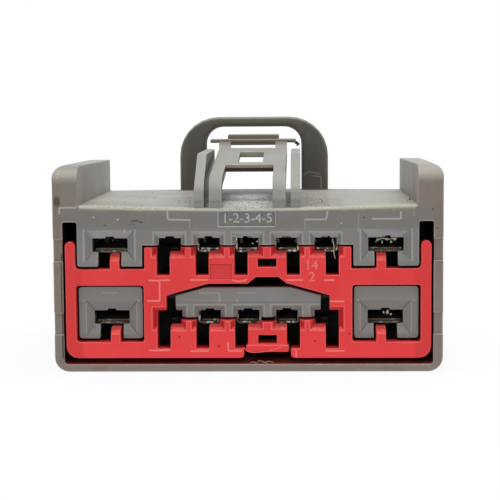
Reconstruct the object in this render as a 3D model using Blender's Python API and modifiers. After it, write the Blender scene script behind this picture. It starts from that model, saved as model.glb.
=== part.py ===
"""Fourteen-way wire harness connector: grey housing, red front retainer and female terminals.

Metres, +Z up. The mating face looks along -Y, the wires would leave along +Y, and the origin
is on the underside, at the middle of the housing.
"""

import math

import bmesh
import bpy
from mathutils import Matrix

MM = 0.001

# Rows and pitches of the fourteen cavities
SMALL_PITCH = 4.0 * MM
SMALL_PER_ROW = 5
LOWER_ROW_HEIGHT = 5.5 * MM
ROW_SPACING = 7.6 * MM
COMB_MARGIN = 2.83 * MM  # last small cavity to the flank of the large block
LARGE_BLOCK_WIDTH = 6.7 * MM

# Shell of the housing
BODY_DEPTH = 27.0 * MM
DECK_OVER_ROW = 4.1 * MM
DECK_SAG = 0.35 * MM  # at the mating face
DECK_REAR_SAG = -0.12 * MM  # it has turned into a slight crown there
DECK_EDGE_BREAK = 0.2 * MM
SIDE_WALL = 1.0 * MM
FLOOR_WALL = 0.8 * MM
ARM_SLOT = 1.47 * MM
BOTTOM_CORNER_RADIUS = 1.5 * MM
EAR_HEIGHT = 4.1 * MM
EAR_THICKNESS = 2.65 * MM
EAR_REAR_DROP = 0.4 * MM
EAR_NOSE_DEPTH = 1.6 * MM
EAR_NOSE_HEIGHT = 1.5 * MM
EAR_OUTER_RADIUS = 1.2 * MM
EAR_EDGE_RADIUS = 0.4 * MM  # inner upper edges, and the corners at both ends
LABEL_WIDTH = 5.7 * MM
LABEL_HEIGHT = 1.4 * MM
LABEL_DROP = 0.4 * MM  # deck to the label's upper edge
LABEL_RECESS = 0.2 * MM
WALL_STEP_HEIGHT = 2.15 * MM
WALL_STEP_RECESS = 0.25 * MM

# Pocket and towers behind the retainer
POCKET_DEPTH = 11.0 * MM
ARM_SLOT_OVER_ROW = 2.4 * MM
BLOCK_UNDER_ROW = 2.17 * MM
TOWER_OVER_ROW = 3.25 * MM
TOWER_SETBACK = 0.8 * MM
TOWER_STEP_OVER_ROW = 1.65 * MM
TOWER_STEP_RECESS = 0.15 * MM
TOWER_CORNER_RADIUS = 0.3 * MM
MIDDLE_TOWER_DROP = 0.08 * MM  # below the large towers' tops
MIDDLE_TOWER_SLOPE = 0.85 * MM
MIDDLE_TOWER_FLAT = 4.3 * MM
MIDDLE_TOWER_OVERHANG = 0.63 * MM  # past the last web, over the outer small cavities
TOWER_SHOULDER_START = 2.6 * MM
TOWER_SHOULDER_HEIGHT = 1.0 * MM
TOWER_SHOULDER_WIDTH = 1.6 * MM

# Tab entries in the front wall
FRONT_WALL = 1.0 * MM
ENTRY_HEIGHT = 1.4 * MM
ENTRY_LEAD_IN = 0.55 * MM
SMALL_ENTRY_WIDTH = 2.26 * MM
LARGE_ENTRY_WIDTH = 3.64 * MM
SMALL_FUNNEL_SPREAD = 0.5 * MM
SMALL_FUNNEL_RISE = 0.63 * MM
LARGE_FUNNEL_SPREAD = 0.8 * MM
LARGE_FUNNEL_RISE = 0.9 * MM
PROBE_NOTCH_WIDTH = 0.86 * MM
PROBE_NOTCH_RISE = 0.2 * MM

# Terminals
TERMINAL_SHEET = 0.22 * MM
SMALL_BOX_WIDTH = 2.6 * MM
SMALL_BOX_HEIGHT = 2.4 * MM
LARGE_BOX_WIDTH = 4.2 * MM
LARGE_BOX_HEIGHT = 2.8 * MM
BOX_LENGTH = 7.0 * MM
BOX_UNDER_ROW = 0.9 * MM
BOX_START = 2.1 * MM  # behind the mating face, or behind a tower's own face
SPRING_SETBACK = 0.35 * MM  # behind the mouth
SPRING_CONTACT_HEIGHT = 0.72 * MM
SPRING_CONTACT_LENGTH = 0.5 * MM
SPRING_RISE = 0.3 * MM
SPRING_REACH = 2.9 * MM
NECK_LENGTH = 1.3 * MM
WIRE_BARREL_LENGTH = 3.2 * MM
INSULATION_BARREL_LENGTH = 3.0 * MM
BARREL_GAP = 0.8 * MM
SMALL_WIRE_BARREL = 1.75 * MM
SMALL_INSULATION_BARREL = 2.35 * MM
LARGE_WIRE_BARREL = 2.5 * MM
LARGE_INSULATION_BARREL = 3.3 * MM
BORE_CLEARANCE = 0.25 * MM

# Rear bores and the lances under the terminals
REAR_BORE_CLEARANCE = 0.3 * MM
REAR_LEAD_IN = 0.35 * MM
BLANKED_DEPTH = 4.0 * MM  # of the wire side's bore where a cavity is moulded closed
LANCE_THICKNESS = 0.65 * MM
LANCE_GAP = 0.25 * MM
LANCE_REACH = 5.2 * MM
LANCE_NIB_HEIGHT = 0.47 * MM
LANCE_NIB_LENGTH = 0.8 * MM
LANCE_TIP = 0.8 * MM
SMALL_LANCE_WIDTH = 1.0 * MM
LARGE_LANCE_WIDTH = 1.6 * MM
LANCE_WINDOW_CLEARANCE = 0.15 * MM
BLOCK_SLOT_WIDTH = 2.4 * MM
CORE_DEPTH = 9.0 * MM
CORE_WALL = 0.9 * MM

# Front retainer
RETAINER_GAP = 0.2 * MM
RETAINER_FACE = 0.1 * MM  # behind the mating face
RETAINER_PLATE = 1.8 * MM
RETAINER_DEPTH = 8.5 * MM
RETAINER_ARM_DEPTH = 7.0 * MM
RETAINER_ARM_UNDER_TOP = 2.0 * MM
RETAINER_ARM_RADIUS = 0.5 * MM
RETAINER_CORNER_RADIUS = 1.2 * MM
RETAINER_FLOOR_GAP = 0.6 * MM
RETAINER_TRAVEL = 2.5 * MM
COMB_SLOT_WIDTH = 1.35 * MM
COMB_SLOT_UNDER_ROW = 3.12 * MM
COMB_FUNNEL_DEPTH = 0.75 * MM
COMB_FUNNEL_DROP = 0.54 * MM
TONGUE_WIDTH = 1.0 * MM
TONGUE_UNDER_ROW = 0.9 * MM
TONGUE_GAP = 0.2 * MM
TONGUE_BEVEL_HEIGHT = 0.65 * MM
SHOULDER_GAP = 0.27 * MM
MIDDLE_WINDOW_JAMB = 0.4 * MM  # past the outer small cavity's middle
MIDDLE_ROOF_GAP = 0.44 * MM
SHELF_THICKNESS = 0.68 * MM
SHELF_STEP = 0.1 * MM
MARK_PANEL_WIDTH = 2.3 * MM
MARK_PANEL_HEIGHT = 1.62 * MM
MARK_PANEL_DROP = 0.42 * MM  # of its foot below the slots' foot
MARK_PANEL_OFFSET = 0.08 * MM
MARK_PANEL_RECESS = 0.12 * MM
LANCE_STOP_GAP = 0.25 * MM
LANCE_STOP_BEVEL = 0.5 * MM
CLIP_WINDOW_WIDTH = 1.9 * MM
CLIP_WINDOW_HEIGHT = 0.85 * MM
CLIP_WINDOW_STEP = 0.1 * MM
CLIP_LIP_RISE = 0.6 * MM
CLIP_LIP_HEIGHT = 0.8 * MM
CLIP_LIP_GAP = 0.12 * MM
CLIP_LIP_EDGE = 0.18 * MM
CLIP_FACE_STEP = 0.15 * MM
CLIP_POST_GAP = 0.4 * MM
CLIP_NOTCH_MARGIN = 0.35 * MM
CLIP_NOTCH_RADIUS = 0.5 * MM
CLIP_RELIEF_HEIGHT = 0.68 * MM
CLIP_RELIEF_SLOPE = 0.85 * MM
CLIP_HINGE_DEPTH = 2.0 * MM
NIB_PROUD = 0.35 * MM
NIB_LENGTH = 1.2 * MM
NIB_HEIGHT = 1.2 * MM
NIB_START = 5.2 * MM

# Latch on the deck, with its guards
LATCH_HALF_WIDTH = 3.95 * MM
LATCH_ARM_WIDTH = 1.35 * MM
LATCH_THICKNESS = 1.15 * MM
LATCH_PLATE_THICKNESS = 0.65 * MM
LATCH_FRONT = 0.25 * MM
LATCH_BEND = 3.0 * MM  # depth at which the arms have turned level
LATCH_OUTER_CROWN = 1.9 * MM
LATCH_INNER_CROWN = 0.9 * MM
LATCH_FRONT_HEIGHT = 3.4 * MM
LATCH_BAR_DEPTH = 9.5 * MM
LATCH_PLATE_END = 21.5 * MM
LATCH_RISE = 2.15 * MM
LATCH_WINDOW_WIDTH = 2.7 * MM
LATCH_WINDOW_LENGTH = 7.8 * MM
LATCH_WINDOW_MARGIN = 1.5 * MM
PAD_HALF_WIDTH = 5.0 * MM
PAD_LENGTH = 2.4 * MM
PAD_THICKNESS = 0.42 * MM
PAD_STEP = 0.78 * MM
PAD_LIFT = 0.2 * MM  # of the pad over its arms
PAD_SETBACK = 0.3 * MM
PAD_GAP = 1.0 * MM
RIDGE_HALF_WIDTH = 3.0 * MM
RIDGE_HEIGHT = 0.55 * MM
RIDGE_LENGTH = 1.1 * MM
GUARD_GAP = 0.5 * MM
GUARD_THICKNESS = 1.0 * MM
GUARD_HEIGHT = 5.42 * MM
GUARD_KNEE_HEIGHT = 2.1 * MM
GUARD_RAKE_DEPTH = 6.2 * MM
GUARD_START = 0.3 * MM
GUARD_LENGTH = 21.7 * MM
ARCH_HALF_WIDTH = 8.78 * MM
ARCH_HEIGHT = 9.0 * MM
ARCH_LEG_WIDTH = 3.16 * MM
ARCH_BAR = 1.15 * MM
ARCH_THICKNESS = 1.6 * MM
ARCH_OUTER_RADIUS = 4.6 * MM
ARCH_INNER_RADIUS = 2.0 * MM
ARCH_EDGE = 0.35 * MM
ARCH_REAR_MARGIN = 0.2 * MM

# Worked out from the sizes above
ROOT = 0.6 * MM  # how far a piece on the deck reaches into it
OVERSHOOT = 1.0 * MM  # how far a cutter runs past a face
FLOAT_MARGIN = 0.06 * MM  # keeps joined faces from lying in one plane
UPPER_ROW = LOWER_ROW_HEIGHT + ROW_SPACING
LOWER_ROW = LOWER_ROW_HEIGHT
DECK = UPPER_ROW + DECK_OVER_ROW
COMB_HALF = (SMALL_PER_ROW - 1) / 2 * SMALL_PITCH
BLOCK_INNER = COMB_HALF + COMB_MARGIN
BLOCK_OUTER = BLOCK_INNER + LARGE_BLOCK_WIDTH
LARGE_X = BLOCK_INNER + LARGE_BLOCK_WIDTH / 2
WALL_INNER = BLOCK_OUTER + ARM_SLOT
BODY_HALF = WALL_INNER + SIDE_WALL
EAR_TOP = DECK + EAR_HEIGHT
SMALL_CENTRES = [-COMB_HALF + i * SMALL_PITCH for i in range(SMALL_PER_ROW)]
# Small cavities with a terminal, counted from the left. The others are moulded closed behind
LOADED = {"upper": (1, 2, 3, 4), "lower": (1, 2, 3)}
ROWS = {"upper": UPPER_ROW, "lower": LOWER_ROW}
# The release slot lies outwards of each small cavity, and to the left of the middle one
SLOT_SIDES = [-1 if centre < SMALL_PITCH / 2 else 1 for centre in SMALL_CENTRES]
WEB_HALF = (SMALL_PITCH - SMALL_ENTRY_WIDTH) / 2
POST_GAP = RETAINER_GAP
RETAINER_HALF = WALL_INNER - RETAINER_GAP
RETAINER_LOW = FLOOR_WALL + RETAINER_FLOOR_GAP
RETAINER_ARM_TOP = UPPER_ROW + ARM_SLOT_OVER_ROW - RETAINER_ARM_UNDER_TOP
MIDDLE_TOWER_TOP = LOWER_ROW + TOWER_OVER_ROW - MIDDLE_TOWER_DROP
MIDDLE_ROOF = MIDDLE_TOWER_TOP + MIDDLE_ROOF_GAP
TOWER_FACE = TOWER_SETBACK + TOWER_STEP_RECESS
# The lance's nib, measured from the mouth of a terminal in a lower and in an upper cavity
LANCE_WINDOW_START = POCKET_DEPTH - LANCE_REACH + LANCE_TIP - BOX_START - TOWER_FACE
LANCE_WINDOW_END = LANCE_WINDOW_START + TOWER_FACE + 2 * LANCE_NIB_LENGTH + LANCE_WINDOW_CLEARANCE

GREY = ("housing_grey", (0.235, 0.225, 0.205, 1.0), 0.48, 0.0)
RED = ("retainer_red", (0.68, 0.052, 0.052, 1.0), 0.38, 0.0)
TIN = ("terminal_tin", (0.62, 0.60, 0.56, 1.0), 0.3, 1.0)


def depth(distance):
    """The Y of a plane that lies a distance behind the mating face."""
    return distance - BODY_DEPTH / 2


def clear_scene():
    for thing in list(bpy.data.objects):
        bpy.data.objects.remove(thing, do_unlink=True)


def new_collection(name):
    made = bpy.data.collections.new(name)
    bpy.context.scene.collection.children.link(made)
    return made


def new_material(name, colour, roughness, metallic):
    made = bpy.data.materials.new(name)
    made.use_nodes = True
    shader = made.node_tree.nodes["Principled BSDF"]
    shader.inputs["Base Color"].default_value = colour
    shader.inputs["Roughness"].default_value = roughness
    shader.inputs["Metallic"].default_value = metallic
    return made


def mesh_object(name, mesh, collection):
    made = bpy.data.objects.new(name, mesh)
    collection.objects.link(made)
    return made


def box(x, y, z, workshop):
    """A block between two values on each axis."""
    shape = bmesh.new()
    bmesh.ops.create_cube(shape, size=1.0)
    size = (x[1] - x[0], y[1] - y[0], z[1] - z[0])
    middle = ((x[0] + x[1]) / 2, (y[0] + y[1]) / 2, (z[0] + z[1]) / 2)
    bmesh.ops.transform(
        shape, matrix=Matrix.Translation(middle) @ Matrix.Diagonal((*size, 1.0)), verts=shape.verts
    )
    mesh = bpy.data.meshes.new("box")
    shape.to_mesh(mesh)
    shape.free()
    return mesh_object("box", mesh, workshop)


def funnel(centre, front_half, back_half, y, workshop):
    """A tapered block, as a tab entry's lead-in. Its half sizes hold at the two values of Y, and
    it runs on past both, so that it opens the face and the bore behind it cleanly."""
    made = box((-1.0, 1.0), (-1.0, 1.0), (-1.0, 1.0), workshop)
    for vertex in made.data.vertices:
        at_front = (vertex.co.y < 0) == (y[0] < y[1])
        for axis, place, inwards in ((0, 0, -0.1), (2, 1, -0.17)):
            share = 1.3 if at_front else inwards
            half = back_half[place] + (front_half[place] - back_half[place]) * share
            vertex.co[axis] = centre[place] + math.copysign(half, vertex.co[axis])
        vertex.co.y = y[1] + (y[0] - y[1]) * (1.3 if at_front else -0.1)
    return made


def rounded(corners, steps=5):
    """An outline's points from its corners, each given as (u, v) or (u, v, radius)."""
    points = []
    count = len(corners)
    for index, corner in enumerate(corners):
        u, v = corner[:2]
        radius = corner[2] if len(corner) > 2 else 0.0
        if radius <= 0:
            points.append((u, v))
            continue
        before = corners[index - 1]
        after = corners[(index + 1) % count]
        to_before = (before[0] - u, before[1] - v)
        to_after = (after[0] - u, after[1] - v)
        length_before = math.hypot(*to_before)
        length_after = math.hypot(*to_after)
        one = (to_before[0] / length_before, to_before[1] / length_before)
        two = (to_after[0] / length_after, to_after[1] / length_after)
        half_angle = math.acos(max(-1.0, min(1.0, one[0] * two[0] + one[1] * two[1]))) / 2
        reach = min(radius / math.tan(half_angle), 0.49 * length_before, 0.49 * length_after)
        fitted = reach * math.tan(half_angle)
        bisector = (one[0] + two[0], one[1] + two[1])
        size = math.hypot(*bisector)
        away = fitted / math.sin(half_angle)
        centre = (u + bisector[0] / size * away, v + bisector[1] / size * away)
        start = math.atan2(v + one[1] * reach - centre[1], u + one[0] * reach - centre[0])
        end = math.atan2(v + two[1] * reach - centre[1], u + two[0] * reach - centre[0])
        turn = (end - start + math.pi) % (2 * math.pi) - math.pi
        for step in range(steps + 1):
            angle = start + turn * step / steps
            points.append((centre[0] + fitted * math.cos(angle), centre[1] + fitted * math.sin(angle)))
    return points


def prism(loops, span, plane, workshop):
    """A filled 2D curve, extruded over a span. In plane FRONT its points are (x, z) and it runs
    along Y, and in plane SIDE they are (depth, z) and it runs along X. Inner loops are holes."""
    curve = bpy.data.curves.new("outline", "CURVE")
    curve.dimensions = "2D"
    curve.fill_mode = "BOTH"
    curve.extrude = (span[1] - span[0]) / 2
    for loop in loops:
        spline = curve.splines.new("POLY")
        spline.points.add(len(loop) - 1)
        for point, (u, v) in zip(spline.points, loop):
            point.co = (u, v, 0.0, 1.0)
        spline.use_cyclic_u = True
    holder = bpy.data.objects.new("outline", curve)
    workshop.objects.link(holder)
    middle = (span[0] + span[1]) / 2
    if plane == "FRONT":
        place = Matrix(((1, 0, 0, 0), (0, 0, 1, middle), (0, 1, 0, 0), (0, 0, 0, 1)))
    else:
        place = Matrix(((0, 0, 1, middle), (1, 0, 0, depth(0.0)), (0, 1, 0, 0), (0, 0, 0, 1)))
    bpy.context.view_layer.update()
    evaluated = holder.evaluated_get(bpy.context.evaluated_depsgraph_get())
    mesh = bpy.data.meshes.new_from_object(evaluated)
    bpy.data.objects.remove(holder, do_unlink=True)
    mesh.transform(place)
    shape = bmesh.new()
    shape.from_mesh(mesh)
    bmesh.ops.remove_doubles(shape, verts=shape.verts, dist=0.0005 * MM)
    bmesh.ops.recalc_face_normals(shape, faces=shape.faces)
    shape.to_mesh(mesh)
    shape.free()
    return mesh_object("prism", mesh, workshop)


def layered(outlines, places, workshop):
    """A solid through front outlines of equal point counts, each at its own value of Y."""
    shape = bmesh.new()
    rings = [[shape.verts.new((x, y, z)) for x, z in outline] for outline, y in zip(outlines, places)]
    for first, second in zip(rings, rings[1:]):
        for index in range(len(first)):
            shape.faces.new((first[index - 1], first[index], second[index], second[index - 1]))
    shape.faces.new(rings[0])
    shape.faces.new(rings[-1])
    bmesh.ops.recalc_face_normals(shape, faces=shape.faces)
    mesh = bpy.data.meshes.new("layered")
    shape.to_mesh(mesh)
    shape.free()
    return mesh_object("layered", mesh, workshop)


def applied(thing):
    """Replaces an object's mesh by what its modifiers make of it."""
    bpy.context.view_layer.update()
    evaluated = thing.evaluated_get(bpy.context.evaluated_depsgraph_get())
    mesh = bpy.data.meshes.new_from_object(evaluated)
    thing.modifiers.clear()
    thing.data = mesh
    return thing


def combine(base, operation, tools):
    """Cuts or joins solids with a base, one after the other, and uses them up."""
    for tool in tools:
        step = base.modifiers.new(operation, "BOOLEAN")
        step.operation = operation
        step.solver = "EXACT"
        step.object = tool
        applied(base)
        bpy.data.objects.remove(tool, do_unlink=True)
    return base


def cut(base, *tools):
    return combine(base, "DIFFERENCE", tools)


def join(base, *tools):
    return combine(base, "UNION", tools)


def rounded_edges(thing, width, segments=2):
    step = thing.modifiers.new("edges", "BEVEL")
    step.width = width
    step.segments = segments
    step.limit_method = "ANGLE"
    step.angle_limit = math.radians(40)
    return applied(thing)


def deck_height(x, sag=DECK_SAG):
    """The deck sags a little towards the middle, as the moulding does."""
    half = BODY_HALF - EAR_THICKNESS
    return DECK - sag * max(0.0, 1 - (x / half) ** 2)


def settle_deck(shell):
    """Lifts the sagging deck towards the rear, and breaks its edge at the mating face."""
    inner = BODY_HALF - EAR_THICKNESS
    shape = bmesh.new()
    shape.from_mesh(shell.data)
    bmesh.ops.bisect_plane(
        shape,
        geom=shape.verts[:] + shape.edges[:] + shape.faces[:],
        plane_co=(0.0, depth(DECK_EDGE_BREAK), 0.0),
        plane_no=(0.0, 1.0, 0.0),
    )
    for vertex in shape.verts:
        level = DECK - 2 * DECK_SAG < vertex.co.z < DECK + FLOAT_MARGIN
        if abs(vertex.co.x) > inner + FLOAT_MARGIN or not level:
            continue
        share = (vertex.co.y - depth(0.0)) / BODY_DEPTH
        vertex.co.z = deck_height(vertex.co.x, DECK_SAG + (DECK_REAR_SAG - DECK_SAG) * share)
        if vertex.co.y < depth(DECK_EDGE_BREAK / 2):
            vertex.co.z -= DECK_EDGE_BREAK
    shape.to_mesh(shell.data)
    shape.free()
    return shell


def housing_shell(workshop):
    """The outer block, with its two ears, before anything is cut out of it."""
    inner = BODY_HALF - EAR_THICKNESS
    steps = 10
    places = [inner * (1 - (i + i) / steps) for i in range(1, steps)]
    deck = [(x, deck_height(x)) for x in places]
    outline = rounded(
        [
            (-BODY_HALF, 0.0, BOTTOM_CORNER_RADIUS),
            (BODY_HALF, 0.0, BOTTOM_CORNER_RADIUS),
            (BODY_HALF, EAR_TOP, EAR_OUTER_RADIUS),
            (inner, EAR_TOP),
            (inner, DECK),
            *deck,
            (-inner, DECK),
            (-inner, EAR_TOP),
            (-BODY_HALF, EAR_TOP, EAR_OUTER_RADIUS),
        ]
    )
    shell = prism([outline], (depth(0.0), depth(BODY_DEPTH)), "FRONT", workshop)
    return round_ears(cut(settle_deck(shell), ear_trimmer(workshop)))


def round_ears(shell):
    """Rounds each ear's inner edges: along the top, at its nose and at the rear."""
    inner = BODY_HALF - EAR_THICKNESS
    shape = bmesh.new()
    shape.from_mesh(shell.data)
    weights = shape.edges.layers.float.new("bevel_weight_edge")
    for edge in shape.edges:
        ends = [vertex.co for vertex in edge.verts]
        on_flank = all(abs(abs(end.x) - inner) < FLOAT_MARGIN for end in ends)
        high = max(end.z for end in ends) > DECK + EAR_HEIGHT / 2
        if on_flank and high and edge.calc_face_angle(0.0) > math.radians(40):
            edge[weights] = 1.0
    shape.to_mesh(shell.data)
    shape.free()
    step = shell.modifiers.new("edges", "BEVEL")
    step.width = EAR_EDGE_RADIUS
    step.segments = 3
    step.limit_method = "WEIGHT"
    return applied(shell)


def ear_trimmer(workshop):
    """What lies over the ears: they start with a rounded nose and fall a little to the rear."""
    steps = 6
    nose = []
    for step in range(steps + 1):
        angle = math.pi / 2 * step / steps
        across = EAR_NOSE_DEPTH * (1 - math.cos(angle))
        nose.append((across, EAR_TOP - EAR_NOSE_HEIGHT * (1 - math.sin(angle)) - 0.02 * MM))
    over = EAR_TOP + OVERSHOOT
    points = [
        (-OVERSHOOT, nose[0][1]),
        *nose,
        (BODY_DEPTH + OVERSHOOT, EAR_TOP - EAR_REAR_DROP),
        (BODY_DEPTH + OVERSHOOT, over),
        (-OVERSHOOT, over),
    ]
    return prism([points], (-BODY_HALF - OVERSHOOT, BODY_HALF + OVERSHOOT), "SIDE", workshop)


def middle_tower_outline():
    """The tower that carries the lower small cavities: a low roof over a row of webs."""
    row = LOWER_ROW
    last_web = COMB_HALF - SMALL_PITCH / 2 + WEB_HALF
    edge = last_web + MIDDLE_TOWER_OVERHANG
    top = MIDDLE_TOWER_TOP
    right = [
        (MIDDLE_TOWER_FLAT, top),
        (edge, top - MIDDLE_TOWER_SLOPE),
        (edge, row + ENTRY_HEIGHT / 2),
        (last_web, row + ENTRY_HEIGHT / 2),
        (last_web, row),
    ]
    left = [(-x, z) for x, z in reversed(right)]
    return right + left


def tower_shoulder(side, workshop):
    """Closes the corner beside the middle tower, over the outer small cavity's bore."""
    edge = middle_tower_outline()[1][0]
    across = sorted((side * (edge - ROOT / 2), side * (edge + TOWER_SHOULDER_WIDTH)))
    low = LOWER_ROW - BOX_UNDER_ROW + SMALL_BOX_HEIGHT + BORE_CLEARANCE + FLOAT_MARGIN
    along = (depth(TOWER_SHOULDER_START), depth(POCKET_DEPTH + ROOT / 2))
    return box(across, along, (low, low + TOWER_SHOULDER_HEIGHT), workshop)


def large_tower_outline(side):
    row = LOWER_ROW
    inner = BLOCK_INNER + RETAINER_GAP / 2
    low = row - BLOCK_UNDER_ROW
    high = row + TOWER_OVER_ROW
    radius = TOWER_CORNER_RADIUS
    corners = [
        (side * inner, low, radius),
        (side * BLOCK_OUTER, low, radius),
        (side * BLOCK_OUTER, high, radius),
        (side * inner, high, radius),
    ]
    return rounded(corners, 3)


def pocket(workshop):
    """The space for the retainer, round the three towers."""
    top = UPPER_ROW + ARM_SLOT_OVER_ROW
    block = UPPER_ROW - BLOCK_UNDER_ROW
    right = [
        (WALL_INNER, FLOOR_WALL, 0.3 * MM),
        (WALL_INNER, top, 0.2 * MM),
        (BLOCK_OUTER, top, 0.2 * MM),
        (BLOCK_OUTER, block, 0.3 * MM),
        (BLOCK_INNER, block),
        (BLOCK_INNER, UPPER_ROW),
    ]
    left = [(-corner[0], *corner[1:]) for corner in reversed(right)]
    loops = [rounded(right + left, 3), middle_tower_outline()]
    loops += [large_tower_outline(side) for side in (-1, 1)]
    return prism(loops, (depth(-OVERSHOOT), depth(POCKET_DEPTH)), "FRONT", workshop)


def tower_face_cutters(workshop):
    """The towers stand behind the mating face, and their lower parts a little further back."""
    across = (-WALL_INNER + RETAINER_GAP, WALL_INNER - RETAINER_GAP)
    bottom = FLOOR_WALL + RETAINER_GAP
    front = depth(-OVERSHOOT)
    roof = LOWER_ROW + TOWER_OVER_ROW + RETAINER_GAP
    step = LOWER_ROW + TOWER_STEP_OVER_ROW
    return [
        box(across, (front, depth(TOWER_SETBACK)), (bottom, roof), workshop),
        box(across, (front, depth(TOWER_FACE)), (bottom, step), workshop),
    ]


def face_of(row):
    """How far behind the mating face the wall with a row's tab entries starts."""
    return 0.0 if row == UPPER_ROW else TOWER_FACE


def small_cavity_cutters(centre, row, workshop):
    """Tab entry, terminal bore and wire bore of one small cavity, open towards the retainer."""
    face = face_of(row)
    entry = SMALL_ENTRY_WIDTH / 2
    half = ENTRY_HEIGHT / 2
    top = row + half
    low = row - OVERSHOOT
    back = face + FRONT_WALL
    bore = SMALL_BOX_WIDTH / 2 + BORE_CLEARANCE
    ceiling = row - BOX_UNDER_ROW + SMALL_BOX_HEIGHT + BORE_CLEARANCE
    lead = ENTRY_LEAD_IN
    notch = PROBE_NOTCH_WIDTH / 2
    return [
        funnel(
            (centre, row),
            (entry + SMALL_FUNNEL_SPREAD, half + SMALL_FUNNEL_RISE),
            (entry, half),
            (depth(face), depth(face + lead)),
            workshop,
        ),
        box(
            (centre - entry, centre + entry),
            (depth(face + lead / 2), depth(back + lead)),
            (low, top),
            workshop,
        ),
        box(
            (centre - notch, centre + notch),
            (depth(-OVERSHOOT), depth(back + lead)),
            (row, top + PROBE_NOTCH_RISE),
            workshop,
        ),
        box(
            (centre - bore, centre + bore),
            (depth(back), depth(POCKET_DEPTH + ROOT)),
            (low, ceiling),
            workshop,
        ),
    ]


def large_cavity_cutters(centre, row, workshop):
    face = face_of(row)
    entry = LARGE_ENTRY_WIDTH / 2
    half = ENTRY_HEIGHT / 2
    back = face + FRONT_WALL
    lead = ENTRY_LEAD_IN
    bore = LARGE_BOX_WIDTH / 2 + BORE_CLEARANCE
    floor = row - BOX_UNDER_ROW - BORE_CLEARANCE
    ceiling = row - BOX_UNDER_ROW + LARGE_BOX_HEIGHT + BORE_CLEARANCE
    notch = PROBE_NOTCH_WIDTH / 2
    slot = BLOCK_SLOT_WIDTH / 2
    return [
        funnel(
            (centre, row),
            (entry + LARGE_FUNNEL_SPREAD, half + LARGE_FUNNEL_RISE),
            (entry, half),
            (depth(face), depth(face + lead)),
            workshop,
        ),
        box(
            (centre - entry, centre + entry),
            (depth(face + lead / 2), depth(back + lead)),
            (row - half, row + half),
            workshop,
        ),
        box(
            (centre - notch, centre + notch),
            (depth(face - ROOT), depth(back + lead)),
            (row, row + half + PROBE_NOTCH_RISE),
            workshop,
        ),
        box(
            (centre - bore, centre + bore),
            (depth(back), depth(POCKET_DEPTH + ROOT)),
            (floor, ceiling),
            workshop,
        ),
        box(
            (centre - slot, centre + slot),
            (depth(face - ROOT), depth(POCKET_DEPTH + ROOT / 2)),
            (row - BLOCK_UNDER_ROW - ROOT, row - ENTRY_HEIGHT / 4),
            workshop,
        ),
    ]


def wire_bore_heights(row, barrel):
    floor = row - BOX_UNDER_ROW - REAR_BORE_CLEARANCE / 2
    return floor, row - BOX_UNDER_ROW + barrel + REAR_BORE_CLEARANCE


def wire_bore_cutters(centre, row, barrel, workshop, blanked=False):
    """The rear half of a cavity, which takes the crimp barrels and the wire, and its lead-in."""
    half = barrel / 2 + REAR_BORE_CLEARANCE
    floor, ceiling = wire_bore_heights(row, barrel)
    rear = depth(BODY_DEPTH)
    upright = (ceiling - floor) / 2
    start = rear - BLANKED_DEPTH if blanked else depth(POCKET_DEPTH + ROOT / 2)
    return [
        box(
            (centre - half, centre + half),
            (start, rear + OVERSHOOT),
            (floor, ceiling),
            workshop,
        ),
        funnel(
            (centre, floor + upright),
            (half + REAR_LEAD_IN, upright + REAR_LEAD_IN),
            (half, upright),
            (rear, rear - REAR_LEAD_IN * 2),
            workshop,
        ),
    ]


def core_cutters(workshop):
    """Blind cores in the wire side, which keep the moulding's walls even between the rows."""
    columns = [(centre, SMALL_INSULATION_BARREL) for centre in SMALL_CENTRES]
    for side in (-1, 1):
        for step in (-1, 1):
            columns.append((side * (LARGE_X + step * SMALL_PITCH / 2), LARGE_INSULATION_BARREL))
    half = (SMALL_PITCH - CORE_WALL) / 2
    rear = depth(BODY_DEPTH)
    cutters = []
    for centre, barrel in columns:
        bottom = wire_bore_heights(LOWER_ROW, barrel)[1] + CORE_WALL
        top = wire_bore_heights(UPPER_ROW, barrel)[0] - CORE_WALL
        along = (rear - CORE_DEPTH, rear + OVERSHOOT)
        cutters.append(box((centre - half, centre + half), along, (bottom, top), workshop))
    return cutters


def lance(centre, row, width, workshop):
    """The flexible finger under a terminal, with the nib that stands in the terminal's window."""
    top = row - BOX_UNDER_ROW - LANCE_GAP
    low = top - LANCE_THICKNESS
    root = POCKET_DEPTH + 2 * ROOT
    tip = POCKET_DEPTH - LANCE_REACH
    nib = tip + LANCE_TIP
    points = [
        (root, low),
        (root, top),
        (nib + 2 * LANCE_NIB_LENGTH, top),
        (nib + LANCE_NIB_LENGTH, top + LANCE_NIB_HEIGHT),
        (nib, top + LANCE_NIB_HEIGHT),
        (nib, top),
        (tip, top),
        (tip, low + LANCE_THICKNESS / 3),
        (tip + LANCE_THICKNESS / 3, low),
    ]
    return prism([points], (centre - width / 2, centre + width / 2), "SIDE", workshop)


def shell_details(workshop):
    """Recesses in the mating face, and the pockets that the retainer's side nibs run in."""
    front = depth(-OVERSHOOT)
    label_top = deck_height(0.0) - LABEL_DROP
    cutters = [
        box(
            (-LABEL_WIDTH / 2, LABEL_WIDTH / 2),
            (front, depth(LABEL_RECESS)),
            (label_top - LABEL_HEIGHT, label_top),
            workshop,
        )
    ]
    nib = nib_box(RETAINER_GAP)
    for side in (-1, 1):
        outer = sorted((side * (WALL_INNER - RETAINER_GAP), side * (BODY_HALF + OVERSHOOT)))
        for row in (LOWER_ROW, UPPER_ROW):
            bottom = row - WALL_STEP_HEIGHT * 0.9 + 0.35 * MM
            cutters.append(
                box(outer, (front, depth(WALL_STEP_RECESS)), (bottom, bottom + WALL_STEP_HEIGHT), workshop)
            )
        across, along, upright = nib
        span = sorted((side * across[0], side * across[1]))
        cutters.append(box(span, (along[0] - RETAINER_TRAVEL, along[1]), upright, workshop))
    return cutters


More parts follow.
